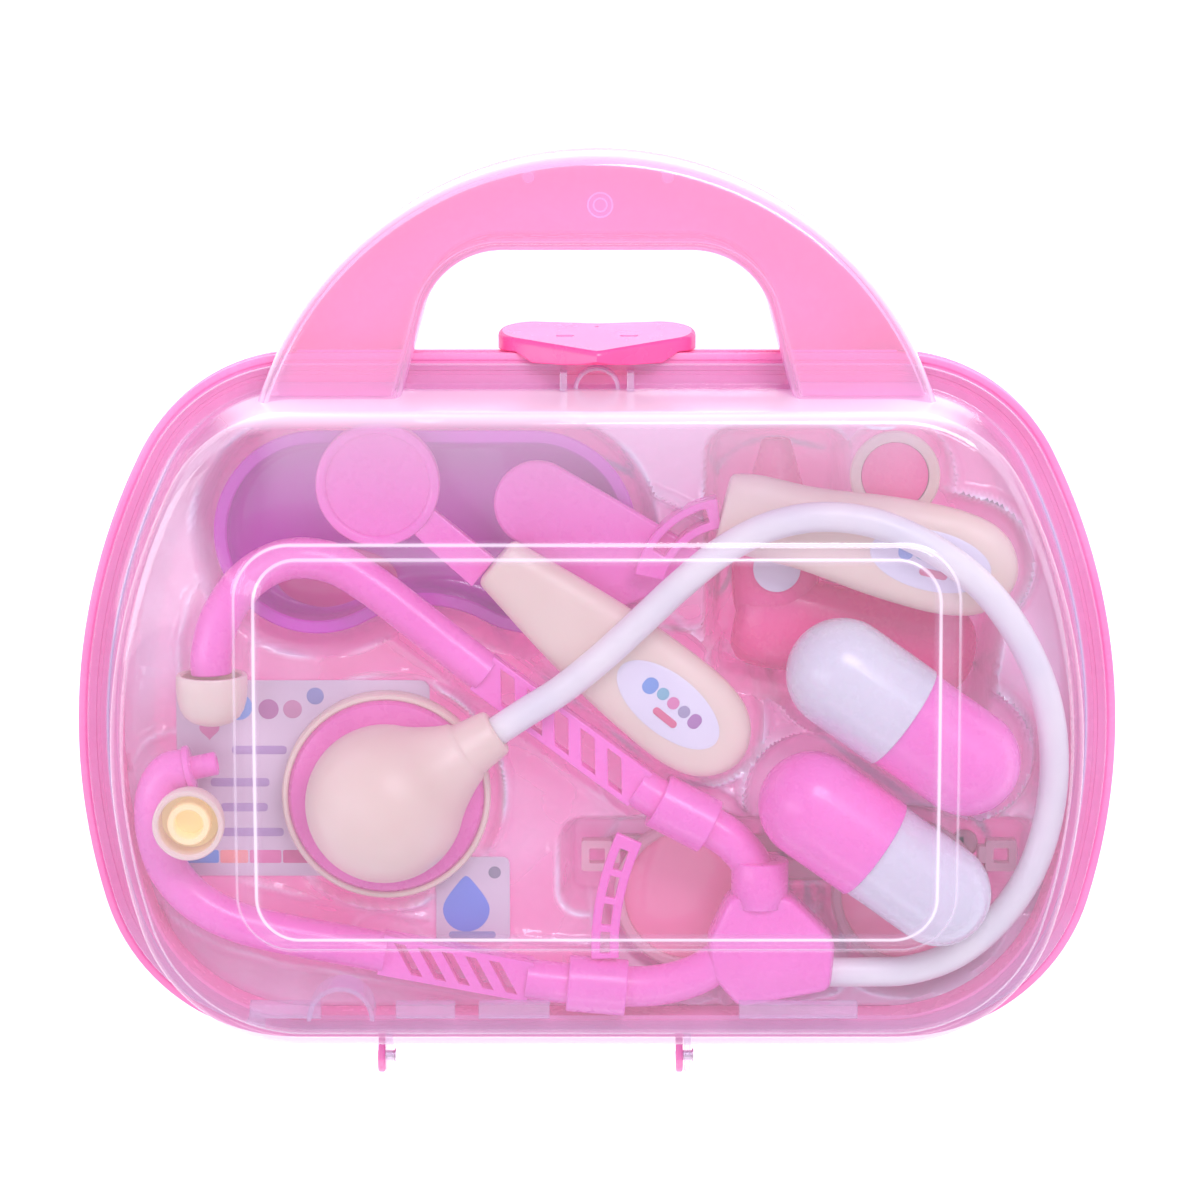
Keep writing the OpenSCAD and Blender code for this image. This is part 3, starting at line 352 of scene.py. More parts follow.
def makePiece(name, parts, material, replaced=(), body="base", sharp=38, bevel=0.0, marks=None):
    points, faces = [], []
    for part in parts:
        faces += [tuple(i + len(points) for i in f) for f in part[1]]
        points += part[0]
    mesh = bpy.data.meshes.new(name)
    mesh.from_pydata([(x / 1000, y / 1000, z / 1000) for x, y, z in points], [], faces)
    for mark, values in (marks or {}).items():  # how strongly each point is whitened by painted highlight or cooled by painted shade
        mesh.attributes.new(mark, "FLOAT", "POINT").data.foreach_set("value", values)
    tidy = bmesh.new()
    tidy.from_mesh(mesh)
    bmesh.ops.recalc_face_normals(tidy, faces=tidy.faces[:])
    tidy.to_mesh(mesh)
    tidy.free()
    mesh.shade_smooth()
    mesh.set_sharp_from_angle(angle=math.radians(sharp))
    mesh.materials.append(material)
    piece = bpy.data.objects.new(name, mesh)
    bpy.context.scene.collection.objects.link(piece)
    if bevel:
        soften = piece.modifiers.new("soften", "BEVEL")
        soften.width, soften.segments, soften.limit_method = bevel / 1000, 2, "ANGLE"
        soften.angle_limit = math.radians(40)
        soften.harden_normals = False
    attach(piece, body)
    if replaced:
        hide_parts(*replaced)
    return piece


# ---- hose ----

levels = {"trayTop": 26, "gap": 0.3, "card": 0.5}
levels["rest"] = levels["trayTop"] + levels["gap"]
levels["arm"] = levels["rest"] + 7.2
levels["neck"] = levels["arm"] + 7.4
levels["tip"] = levels["rest"] + levels["card"] + levels["gap"] + 9

hose = {"diameter": 7.5, "length": 0.3302,  # length in metres, as declared; the route below measures 0.2978
        "route": [(-30, -10, 0), (-25, -6.7, 0), (-18, -2, 0.2), (-9, 4, 1.4), (1, 12.5, 3.4), (11, 22, 4.4),
                  (21, 31.5, 4.6), (31.5, 40, 4.6), (43, 46, 4.6), (56, 48.4, 4.6), (70, 46.5, 4.6), (84, 40, 4.4),
                  (96.5, 30, 3), (106, 17, 0.6), (112.6, 2, -2), (115.4, -14, -4.6), (114.6, -30, -7),
                  (110.4, -45, -8.6), (102.6, -57.4, -9.4), (92, -66.6, -9.4), (80, -71, -9.4), (68, -71.6, -9.4),
                  (57, -71.6, -9.4)]}
hosePath = [p + np.array((0, 0, levels["neck"])) for p in smoothPath(hose["route"], 6)]
hosePiece = makePiece("hoseTube", [sweep(hosePath, hose["diameter"] / 2, 32)], hoseWhite, ["hose"])
measured = sum(np.linalg.norm(b - a) for a, b in zip(hosePath, hosePath[1:]))
print("hose length", round(measured, 2))
print("stage 3: hose")

# ---- case shells ----

case = {"width": 262, "top": 88, "bottom": 88, "cornerTop": 45, "cornerBottom": 50, "sideRadius": 158,
        "baseHeight": 34, "lidHeight": 32, "baseWall": 2, "lidWall": 1.6, "backRound": 6, "faceRound": 4,
        "flange": 8, "flangeHinge": 3, "flangeThick": 2, "skirt": 7, "lipHeight": 0.6,
        "lidDraft": 3, "baseDraft": 1.5, "handleRadius": 88.3, "handleY": 50, "handleDepth": 16,
        "gripY": 114.3, "gripRadius": 20, "gripX": 23.3, "gripSlant": 14.6,
        "panel": (89, 44.8, -56.8, 14, 14, 5000), "panelRise": 3.6}
rim = (case["width"] / 2, case["top"], -case["bottom"], case["cornerTop"], case["cornerBottom"], case["sideRadius"])
wallLine = (rim[0] - case["flange"], rim[1] - case["flange"], rim[2] + case["flangeHinge"],
            rim[3] - case["flange"], rim[4] - 5, rim[5] - case["flange"])
parting = case["baseHeight"] + 0.2
rimTop = case["baseHeight"] + case["lipHeight"]
flangeClear = {"from": 86.6, "top": 33.9}  # where the lid's flange crosses the handle's channel
faceZ = case["baseHeight"] + case["lidHeight"]


def caseOutline(s, d=0.0, cornerN=22, sideN=24, sideY=-8):
    w, t, b, rt, rb, rs = s[0] - d, s[1] - d, s[2] + d, s[3] - d, s[4] - d, s[5] - d
    sx = w - rs
    tx = sx + math.sqrt((rs - rt) ** 2 - (t - rt - sideY) ** 2)
    bx = sx + math.sqrt((rs - rb) ** 2 - (sideY - b - rb) ** 2)
    at = math.degrees(math.atan2(t - rt - sideY, tx - sx))
    ab = math.degrees(math.atan2(b + rb - sideY, bx - sx))
    right = arcPoints((bx, b + rb), rb, -90, ab, cornerN)
    right += arcPoints((sx, sideY), rs, ab, at, sideN + 1)[1:-1]
    right += arcPoints((tx, t - rt), rt, at, 90, cornerN)
    return right + [(-x, y) for x, y in reversed(right)]


def ring(s, d, z):
    return atHeight(caseOutline(s, d), z)


def archOutline(d, foot, k=26):
    r, s = case["handleRadius"] - d, math.radians(case["gripSlant"])
    a0 = math.degrees(math.asin((foot - case["handleY"]) / r))
    cx, cy, g = case["gripX"], case["gripY"] - case["gripRadius"], case["gripRadius"] + d
    side = cy + g * math.sin(s) - foot
    half = [(cx + g * math.cos(s) + f * side * math.tan(s), foot + (1 - f) * side) for f in (1, 0.66, 0.33)]
    half += arcPoints((cx, cy), g, case["gripSlant"], 90, k) + [(cx / 2, cy + g)]
    return (arcPoints((0, case["handleY"]), r, a0, 180 - a0, 2 * len(half) - 1)
            + [(-x, y) for x, y in half] + list(reversed(half)))


def baseTub():
    r, bw, bd = case["backRound"], case["baseWall"], case["baseDraft"]
    flangeZ, skirtZ, topZ = case["baseHeight"] - case["flangeThick"], case["baseHeight"] - case["skirt"], rimTop
    land = case["baseHeight"]
    rows = [(wallLine, r * (1 - math.sin(math.radians(a))) + bd * (1 - a / 400), r * (1 - math.cos(math.radians(a))))
            for a in range(0, 91, 10)]
    rows += [(wallLine, 0.3, flangeZ - 1.2), (wallLine, 0, flangeZ - 0.6), (wallLine, -0.8, flangeZ),
             (rim, 1.6, flangeZ), (rim, 1.6, skirtZ + 0.3), (rim, 1.3, skirtZ), (rim, 0.3, skirtZ),
             (rim, 0, skirtZ + 0.3), (rim, 0, skirtZ + 3), (rim, 0.25, skirtZ + 3.2), (rim, 0.25, topZ - 1.9),
             (rim, 0, topZ - 1.7), (rim, 0, topZ - 0.5), (rim, 0.15, topZ - 0.15), (rim, 0.5, topZ),
             (rim, 1.5, topZ), (rim, 1.75, topZ - 0.12), (rim, 2.1, land + 0.05), (rim, 2.4, land), (rim, 4.4, land),
             (rim, 4.6, land - 0.3), (rim, 5.4, land - 0.3), (rim, 5.6, land), (wallLine, bw - 0.5, land),
             (wallLine, bw, land - 0.5)]
    inner = r - bw
    rows += [(wallLine, bw + bd + inner * (1 - math.sin(math.radians(a))),
              bw + inner * (1 - math.cos(math.radians(a))))
             for a in range(90, -1, -10)]
    return loft([ring(s, d, z) for s, d, z in rows])


def baseHandle():
    foot = wallLine[1] - case["baseDraft"] / 2 - 0.9
    low, t = case["baseHeight"] - case["handleDepth"], case["baseWall"]
    rows = [(2.6, foot, low), (1.6, foot, low + 0.5), (0.9, foot, low + 1.4), (0.3, foot, low + 4), (0, foot, 32),
            (0, foot, 34.4), (0.2, foot, rimTop), (t - 0.2, foot + t, rimTop), (t, foot + t, 34.4),
            (t + 0.3, foot + t, low + t + 1), (t + 0.8, foot + t, low + t + 0.3), (t + 1.8, foot + t, low + t)]
    rings = [atHeight(archOutline(d, f), z) for d, f, z in rows]
    # the lid's flange lies inside the rim, so the handle's walls stop under it there
    rings = [[(x, y, min(z, flangeClear["top"]) if y < flangeClear["from"] else z) for x, y, z in r] for r in rings]
    return loft(rings, folded=True)


def eyeAndArm(x, y, z, r, thick, reach, low, high):  # eye on a pin along X with an arm to the case
    side = 1 if reach > 0 else -1
    points = [(-side * r * math.cos(math.radians(a)), r * math.sin(math.radians(a)))
              for a in np.linspace(-90, 90, 25)]
    if high < r:
        points += [(side * math.sqrt(max(r * r - high * high, 0)), high)]
    points += [(reach, high), (reach, low)]
    if low > -r:
        points += [(side * math.sqrt(max(r * r - low * low, 0)), low)]
    rows = [(x - thick / 2, -0.35), (x - thick / 2 + 0.35, 0), (x + thick / 2 - 0.35, 0), (x + thick / 2, -0.35)]
    return loft([[(px, y + a, z + b) for a, b in grown(points, d)] for px, d in rows])


hinge = {"stations": (-54, 22), "axis": (-92.6, 35), "eye": 4.3, "lug": 1.8, "halfGap": 0.1,
         "baseReach": 5.2, "lidReach": 8}
latchAxis = (87, 22)
latchEar = {"radius": 3.4, "thick": 2.5, "baseX": 13.25, "baseReach": -8.2, "latchX": 15.95, "latchReach": 5.4}


def hingeLug(x, own):
    y, z = hinge["axis"]
    t, r, gap = hinge["lug"], hinge["eye"], hinge["halfGap"]
    if own == "base":
        return eyeAndArm(x - t / 2 - gap, y, z, r, t, hinge["baseReach"], -r, -0.5)
    return eyeAndArm(x + t / 2 + gap, y, z, r, t, hinge["lidReach"], -0.2, r)


def latchEye(x, reach):
    r = latchEar["radius"]
    return eyeAndArm(x, *latchAxis, r, latchEar["thick"], reach, -r, r)


baseParts = [baseTub(), baseHandle()]
pinMark = {"centre": (0.8, 123.5, 0), "radii": (3.3, 1.9), "level": 20}
pinMarks = []
for r in pinMark["radii"]:
    z = pinMark["level"]
    pinMarks.append(lathe([(r, z - 0.2), (r, z + 0.2), (r - 0.15, z + 0.3), (r - 0.3, z + 0.3), (r - 0.45, z + 0.2),
                           (r - 0.45, z - 0.2)], Matrix.Translation(pinMark["centre"]), 48))
legFloor = []
for s in (-1, 1):  # step of the channel where the handle's legs meet the case
    leg = [(s * 46.6, 79.6), (s * 78.4, 79.6), (s * 77.2, 84), (s * 74.6, 88.6), (s * 47.2, 88.6)][::s]
    legFloor.append(slab(leg, 32.6, 33.4, 0.3))
catchPlate = [(-8.6, 79.4), (8.6, 79.4), (7.4, 86.6), (-7.4, 86.6)]
baseParts += [hingeLug(x, "base") for x in hinge["stations"]]
baseParts += [latchEye(s * latchEar["baseX"], latchEar["baseReach"]) for s in (-1, 1)]
makePiece("caseBase", baseParts, casePink, ["base_shell"], sharp=34)
makePiece("pinMarks", pinMarks, markGlowPink)
# the catch plate and leg steps carry a painted glow
makePiece("catchPlate", [slab(catchPlate, 32.8, 33.6, 0.3), *legFloor], legGlowPink)


def lidDome():
    t, top, draft, r = case["lidWall"], faceZ + case["panelRise"], case["lidDraft"], case["faceRound"]
    p = case["panel"]
    crest = (p[0] - 1.8, *p[1:])  # the bevel is wider at the two sides
    # each row: outline, offset, height and painted highlight strength
    inside = [(crest, 5.2, top - t, 0), (crest, 4.4, top - t, 0.1), (p, 1.2, faceZ - t + 0.3, 0.1),
              (p, 0.4, faceZ - t, 0), (wallLine, draft + r + 1.4, faceZ - t, 0),
              (wallLine, draft + r * 0.5 + 1.4, faceZ - t - 0.7, 0), (wallLine, draft + t + 0.9, faceZ - r, 0),
              (wallLine, t + 0.2, parting + 1.5, 0), (wallLine, t - 0.3, parting, 0)]
    flange = [(rim, 3.1, parting, 0), (rim, 2.7, parting, 0.1), (rim, 2.5, parting + 0.25, 0.35),
              (rim, 2.5, parting + 1.7, 0.35), (rim, 2.75, parting + 2, 0.35), (rim, 3.1, parting + 2, 0),
              (wallLine, -0.9, parting + 2, 0)]
    foot = [(wallLine, -0.35, parting + 2.2, 0.1), (wallLine, 0, parting + 2.9, 0.1),
            (wallLine, 0.15, parting + 4.4, 0)]
    z0, z1 = parting + 2, faceZ - r
    flank = [(wallLine, draft * f, z0 + (z1 - z0) * f, 0) for f in (0.25, 0.5, 0.75, 1)]
    over = [(wallLine, draft + r * (1 - math.cos(math.radians(a))), z1 + r * math.sin(math.radians(a)), 0.1)
            for a in range(15, 91, 15)]
    panel = [(p, -1.2, faceZ, 0), (p, -0.45, faceZ + 0.1, 0.1), (p, -0.05, faceZ + 0.35, 0.9),
             (p, 0.3, faceZ + 0.7, 0.9),
             (p, 0.65, faceZ + 1.05, 0.05), (crest, 2.7, faceZ + 3, 0.05), (crest, 3.05, faceZ + 3.35, 0.8),
             (crest, 3.5, faceZ + 3.55, 0.8), (crest, 3.9, faceZ + 3.6, 0.1), (crest, 5, faceZ + 3.6, 0)]
    rows = inside + flange + foot + flank + over + panel
    rings = [ring(s, d, z) for s, d, z, e in rows]
    # painted highlight on the lid's edge lines, flange and the handle-side wall's top band, stronger towards the
    # handle side where the light falls; painted bluish shade where the side walls and the lower flange are seen edge
    # on
    paintedShine, paintedEdgeShade = [], []
    for row, points in zip(rows, rings):
        for x, y, z in points:
            side = min(1, max(0, (abs(x) - 84) / 24)) * min(1, max(0, (78 - y) / 25))
            if row in panel:  # the light from the handle side picks out the foot there, the crest opposite
                top = min(1, max(0, (y - 20) / 40))
                paintedShine.append(row[3] * (0.45 + 0.55 * (top if z < faceZ + 2 else 1 - top)))
            elif row in flank or row in over:
                paintedShine.append(max(row[3], 0.75 * min(1, max(0, (y - 71) / 5))))
            else:
                paintedShine.append(row[3] * (1 - 0.8 * side) * (0.4 + 0.6 * min(1, max(0, (y + 20) / 60))))
            low = min(1, max(0, (-y - 50) / 30))
            paintedEdgeShade.append(side if row in foot[:2] else 0.4 * low if row in flange else 0.0)
    return loft(rings), paintedShine, paintedEdgeShade


def lidHandle():
    low, high, t = case["baseHeight"] + 0.8, parting + case["handleDepth"], case["lidWall"] + 0.4
    lean, foot = case["lidDraft"] * case["handleDepth"] / (case["lidHeight"] - case["faceRound"]), wallLine[1] - 1.3
    # each row: offset, foot line, height and painted highlight strength
    rows = [(t + 1.6, foot - lean + t, high - t, 0), (t + 0.7, foot - lean + t, high - t - 0.3, 0.2),
            (t + 0.3, foot - lean + t, high - t - 1.2, 0), (t, foot + t, low + 0.2, 0.2),
            (t - 0.2, foot + t, low, 0.5),
            (0.2, foot, low, 0.5), (0, foot, low + 0.2, 0.3), (0.3, foot - lean, high - 4, 0.05),
            (0.7, foot - lean, high - 2, 0.25), (1.5, foot - lean, high - 0.6, 0.4), (2.6, foot - lean, high, 0.25),
            (3.4, foot - lean, high, 0)]
    rings = [atHeight(archOutline(d, f), z) for d, f, z, e in rows]
    return loft(rings, folded=True), [e for row in rows for e in [row[3]] * len(rings[0])]


dome, domeHighlight, domeEdgeShade = lidDome()
arch, archHighlight = lidHandle()
trim = [hingeLug(x, "lid") for x in hinge["stations"]]
# painted highlight strength for the lid's lugs, then for the ribs, bracket, slabs, catch and pegs below
trimHighlight = [0.22] * sum(len(t[0]) for t in trim)
# the ribs' edge value is their painted highlight strength
rib = {"at": (-41, -5.4, 32.7, 69.5), "half": 3.3, "footZ": 39, "neckZ": 52, "wire": 0.42, "edge": 1.1}
for x in rib["at"]:  # round-ended ribs inside the handle-side wall
    drop = 1.7 if abs(x) > 60 else 0
    half = rib["half"]
    path = [(x - half, 76 - drop, rib["footZ"]), (x - half, 74.7 - drop, rib["neckZ"])]
    path += [(x + half * math.cos(a), 74.2 - drop, 56.5 + 3.4 * math.sin(a)) for a in np.linspace(math.pi, 0, 13)]
    path += [(x + half, 74.7 - drop, rib["neckZ"]), (x + half, 76 - drop, rib["footZ"])]
    trim.append(sweep([np.array(q) for q in path], rib["wire"], 8))
    trimHighlight += [rib["edge"]] * len(trim[-1][0])
ribCount = len(trim)
bracket = arcPoints((0, 0), 8.5, 0, 180, 24) + arcPoints((0, 0), 7.4, 180, 0, 24)
trim.append(loft([[(x - 64.5, -79 + y * 1.05, z) for x, y in bracket] for z in (40, 52)]))
trim += [slab([(x0, -80.6), (x1, -80.6), (x1, -76.8), (x0, -76.8)], 39, 44, 0.5)
         for x0, x1 in ((-88, -70), (-51, -36), (-30, -12), (36, 66))]
catch = arcPoints((0, 0), 5.8, 0, 180, 20) + arcPoints((0, 0), 5.1, 180, 0, 20)
trim.append(loft([[(x * f, wallLine[1] - 0.6 + y * f, z) for x, y in catch]
                  for f, z in ((0.94, 36), (1, 36.4), (1, 40), (0.94, 40.4))]))
for s in (-8.3, 8.3):
    peg = [(s - 0.9, 79.4), (s + 0.9, 79.4), (s + 0.9, 84), (s - 0.9, 84)]
    trim.append(slab(peg, 36, 43, 0.25))
trimHighlight += [0.22] * sum(len(t[0]) for t in trim[ribCount:])
makePiece("caseLid", [dome, *trim], lidClear, ["lid_shell"], body="lid", sharp=34,
          marks={"edge": domeHighlight + trimHighlight, "paintedEdgeShade": domeEdgeShade + [0.0] * len(trimHighlight)})
pegs = []
for x in (-16.8, 17.3):  # two small round stops inside the handle's outer wall
    pegs.append(lathe([(0.05, 48), (1.2, 48), (1.5, 47.6), (1.6, 38)], Matrix.Translation((x, 132.6, 0)), 24))
# painted highlight along the handle's edges and the pegs
makePiece("lidHandle", [arch, *pegs], handleClear, body="lid", sharp=34,
          marks={"edge": archHighlight + [0.3] * sum(len(peg[0]) for peg in pegs)})
print("stage 4: case shells")

# ---- latch and pins ----

latch = {"width": 49.4, "lobe": 9, "lobeZ": 27.2, "tipZ": 47, "top": 94.3, "slope": 9.4, "wall": 1.8}


def heartOutline(g, n=22):
    r, cx, cz = latch["lobe"], latch["width"] / 2 - latch["lobe"], latch["lobeZ"]
    h = latch["tipZ"] - cz
    lean = -math.degrees(math.atan2(h, cx)) + math.degrees(math.asin(r / math.hypot(cx, h)))
    tip, notch = latch["tipZ"] - g / math.cos(math.radians(lean)), cz - r * 0.8 + g
    right = arcPoints((cx, cz), r - g, -105, 90 + lean, n)
    edge = [(right[-1][0] * (1 - f), right[-1][1] + (tip - right[-1][1]) * f) for f in (0.2, 0.4, 0.6, 0.8, 0.93)]
    half = right + edge
    return half + [(0, tip - 0.25)] + [(-x, z) for x, z in reversed(half)] + [(0, notch)]


def latchTop(z):
    return latch["top"] - (z - latch["lobeZ"] + latch["lobe"]) * math.tan(math.radians(latch["slope"]))


def latchRow(g, depth):
    return [(x, latchTop(z) - depth, z) for x, z in heartOutline(g)]


def latchEdge(g, lift):  # lower edge: clear of both rims, rising to the point
    low = [(88.3 if z < 36.5 else max(85.8, 87 - abs(x) * 0.2126)) for x, z in heartOutline(0)]
    return [(x, y + lift, z) for (x, z), y in zip(heartOutline(g), low)]


def latchShell():
    w = latch["wall"]
    rows = [latchRow(w + 0.7, w), latchRow(w, w + 0.7), latchEdge(w, 0.2), latchEdge(w - 0.2, 0), latchEdge(0.2, 0),
            latchEdge(0, 0.2), latchRow(0, 1.1), latchRow(0.15, 0.55), latchRow(0.5, 0.18), latchRow(1, 0)]
    slots = [arcPoints((s * 8 + 1.5, latch["lobeZ"] + 5), 0.8, -90, 90, 10)
             + arcPoints((s * 8 - 1.5, latch["lobeZ"] + 5), 0.8, 90, 270, 10) for s in (-1, 1)]
    slots.append([(-0.7, 24.1), (0.7, 24.1), (0, 23.1)])  # small notch between the lobes
    points, faces = plate(heartOutline(1), slots, -1.7, 0)
    return loft(rows, capped=False), ([(x, latchTop(z) + lift, z) for x, z, lift in points], faces)


skirt, face = latchShell()
latchParts = [skirt] + [latchEye(s * latchEar["latchX"], latchEar["latchReach"]) for s in (-1, 1)]
latchParts.append(slab([(-4, 86), (4, 86), (4, 89.6), (-4, 89.6)], 41.5, 43.5, 0.3))
# the face takes the paler pink as painted light from the handle side, the skirt the deeper pink as painted shade
makePiece("latchFace", [face], latchLitPink, body="latch", sharp=40)
makePiece("heartLatch", latchParts, latchShadedPink, ["latch"], body="latch", sharp=40)
makePiece("latchPin", [lathe([(1.1, -17.7), (1.5, -17.3), (1.5, 17.3), (1.1, 17.7)],
                             Matrix.Translation((0, *latchAxis)) @ alongX, 32)], pinSteel, ["latch_pin"])
pinProfile = [(0.9, -2.2), (1.3, -1.9), (1.3, 2.2), (1.6, 2.2), (1.8, 2.35), (1.8, 2.6), (1.4, 2.75)]
makePiece("hingePins", [lathe(pinProfile, Matrix.Translation((x, *hinge["axis"])) @ alongX, 32)
                        for x in hinge["stations"]], pinSteel, ["hinge_pins"])
print("stage 5: latch and pins")

# ---- stethoscope ----

bell = {"disc": (-53.5, -25.4), "turn": 33.3, "discThick": 7.6, "radius": 20, "reach": 34}
discZ = levels["rest"] + levels["card"] + levels["gap"]


def ladder(a, b, count, height=6.6, width=10.4):
    length, turn = math.dist(a, b), math.degrees(math.atan2(b[1] - a[1], b[0] - a[0]))
    pitch = (length - 8) / count
    holes = []
    for i in range(count):  # slanted windows that leave slats between them
        x, half, up, lean = 4 + pitch * (i + 0.5), pitch * 0.3, width * 0.36, 2.6
        loop = [(x - half - lean, -up), (x + half - lean - 0.8, -up), (x + half - lean, -up + 0.9),
                (x + half + lean, up),
                (x - half + lean + 0.8, up), (x - half + lean, up - 0.9)]
        holes.append([(px, -py) for px, py in loop][::-1])
    outer = [(0, -width / 2), (length, -width / 2), (length, width / 2), (0, width / 2)]
    return moved(plate(outer, holes, -height / 2, height / 2), turned(a[0], a[1], levels["arm"], turn))


arms = {"diameter": 10.4,
        "upperEnd": [(-97, 6.9, 2.6), (-97, 12, 2.4), (-94.6, 21, 1.4), (-88, 30.4, 0), (-78, 35.8, 0.6),
                     (-67, 35, 0),
                     (-57, 29.4, 0), (-47, 21.6, 0), (-37, 13.6, 0), (-28, 6.4, 0)],
        "upperRoot": [(10, -22.4, 0), (18, -27.4, 0), (27, -32, 0), (34.6, -37, 0), (39.6, -43.6, 0), (41.4, -52, 0)],
        "lowerEnd": [(-104, -18.2, 0), (-108.6, -19.2, 0), (-111.8, -25, 0), (-112, -34, 0), (-109, -44, 0),
                     (-102.4, -52, 0), (-92.6, -57.6, 0), (-80, -61, 0), (-66, -63.6, 0), (-54, -66, 0)],
        "lowerRoot": [(-18, -72.8, 0), (-8, -74, 0), (4, -74.8, 0), (15, -74.6, 0), (25, -72, 0), (33, -67, 0)]}
tipRaise = levels["tip"] - levels["arm"]


def armTube(key):
    points = [(x, y, levels["arm"] + z) for x, y, z in arms[key]]
    return sweep(smoothPath(points, 7), arms["diameter"] / 2, 36)


makePiece("upperArm", [armTube("upperEnd"), ladder((-29, 7.2), (11, -23), 5), armTube("upperRoot")],
          toolPink, ["upper_arm"], bevel=0.35)
stub = Matrix.Translation((-104, -18.2, levels["arm"])) @ Matrix.Rotation(math.radians(-168 + 180), 4, "Z") @ alongX
makePiece("lowerArm", [armTube("lowerEnd"), ladder((-55, -65.8), (-17, -73), 5), armTube("lowerRoot"),
                       lathe([(4.6, -0.2), (5.8, 0), (6, 0.4), (6, 1.3), (5.6, 1.6), (3, 1.8), (3, 7.6), (2.6, 8),
                              (1.8, 8), (1.8, 4)], stub, 48)], toolPink, ["lower_arm"], bevel=0.35)
sleeve = [(5.7, -7.2), (6.9, -7.5), (7.2, -7.2), (7.2, 7.2), (6.9, 7.5), (5.7, 7.2), (5.6, 6.8), (5.6, -6.8)]
for name, node, x, y, turn in (("upperCollar", "upper_collar", 22, -29.6, -28),
                               ("lowerCollar", "lower_collar", 0, -74.6, -5)):
    makePiece(name, [lathe(sleeve + sleeve[:1], turned(x, y, levels["arm"], turn) @ alongX, 64)], toolPink,
              [node])

makePiece("bellDisc", [lathe([(0.01, 0), (23.8, 0), (24.8, 0.8), (24.85, 5.6), (24, 7), (22.5, 7.55), (0.01, 7.6)],
                             Matrix.Translation((*bell["disc"], discZ)), 96)], discPink, ["bell_disc"])
band = [(24.9, 0.4), (25.2, 0), (26.2, 0), (26.5, 0.4), (26.5, 5.4), (26.1, 6), (25.3, 6), (24.9, 5.6)]
makePiece("bellRing", [lathe(band + band[:1], Matrix.Translation((*bell["disc"], discZ)), 96)],
          cream, ["bell_ring"])


def bellDrop():
    r, reach = bell["radius"], bell["reach"]
    profile = [(0.05, -r)] + [(r * math.cos(math.radians(a)), r * math.sin(math.radians(a)))
                               for a in range(-86, 47, 6)]
    profile += [(12.1, 16.8), (10.4, 19.6), (9.2, 21.8), (8.5, 23.4), (8.2, reach - 9.7), (7.6, reach - 9.2),
                (7.2, reach - 8.6), (6.2, reach - 1), (5.8, reach - 0.3), (5.2, reach), (3.9, reach),
                (3.85, reach - 4)]
    place = turned(*bell["disc"], levels["neck"], bell["turn"]) @ alongX
    points, faces = lathe(profile, place, 96)
    floorZ = discZ + bell["discThick"] + 0.1
    points = [(x, y, max(z, floorZ) if math.dist((x, y), bell["disc"]) < 27.5 else z) for x, y, z in points]
    return points, faces


makePiece("bellDrop", [bellDrop()], cream, ["bell_body"])

tip = [(0.05, 0), (3, 0.15), (5.2, 0.9), (7, 2.3), (8.1, 4.2), (8.7, 6.4), (9, 9), (9, 12.6), (8.7, 13), (7.9, 13),
       (7.5, 12.6), (7.4, 4.6)]
core = [(5.4, 4.4), (5.4, 11.2), (5.1, 11.6), (3.9, 11.6), (3.6, 11.2), (3.6, 5), (0.05, 5)]
tipUp = Matrix.Translation((-97, -6.2, levels["tip"])) @ Matrix.Rotation(math.radians(-90), 4, "X")
makePiece("earTip", [lathe(tip + [(5.3, 4.4), (0.05, 4.4)], tipUp, 64)], cream, ["ear_tip"])
looseTip = Matrix.Translation((-102.4, -29.4, levels["arm"] + 5.2 + levels["gap"] - 3.3))
makePiece("looseEarTip", [lathe(tip + [(5.4, 4.4)], looseTip, 72)], cream, ["loose_ear_tip"])
makePiece("looseTipCore", [lathe(core, looseTip, 64), lathe([(5.45, 4.4), (7.35, 4.4), (7.35, 4.6), (5.45, 4.6),
                                                            (5.45, 4.4)], looseTip, 64)],
          creamInside)


def strap():
    centre, r, w, start, stop = (72, -64.4), 70, 7, 155.6, 182
    outer = arcPoints(centre, r + w / 2, start, stop, 40) + arcPoints(centre, r - w / 2, stop, start, 40)
    holes = []
    for i in range(4):
        a = start + 5 + i * 6
        holes.append(arcPoints(centre, r + 1.2, a - 2.3, a + 2.3, 8)
                     + arcPoints(centre, r - 1.2, a + 2.3, a - 2.3, 8))
    return plate(outer, holes, levels["arm"] + 1, levels["arm"] + 3)


makePiece("armStrap", [strap()], toolPink, ["arm_strap"], bevel=0.35)
fork = {"outline": [(28, -62), (33.6, -50), (49, -50), (60.6, -62), (59.4, -75), (36, -79.4), (29, -71)], "depth": 13}


def rounded(points, r, n=5):  # polygon with its corners cut to arcs
    made = []
    for i, p in enumerate(points):
        a, b = Vector(points[i - 1]) - Vector(p), Vector(points[(i + 1) % len(points)]) - Vector(p)
        start, stop = Vector(p) + a.normalized() * r, Vector(p) + b.normalized() * r
        made += [tuple(start * (1 - t) ** 2 + Vector(p) * 2 * t * (1 - t) + stop * t * t)
                 for t in np.linspace(0, 1, n)]
    return made


forkBody = slab(rounded(fork["outline"], 2.6), levels["rest"], levels["rest"] + fork["depth"], 2.4)
forkTop = lathe([(6, -6), (7.1, -6), (7.3, -5.7), (7.3, 5.7), (7.1, 6), (6, 6)],
                Matrix.Translation((41.4, -47.6, levels["arm"])) @ Matrix.Rotation(math.radians(90), 4, "X"), 56)
makePiece("forkedConnector", [forkBody, forkTop], toolPink, ["y_connector"], bevel=0.3)
print("stage 6: stethoscope")

# ---- tools ----

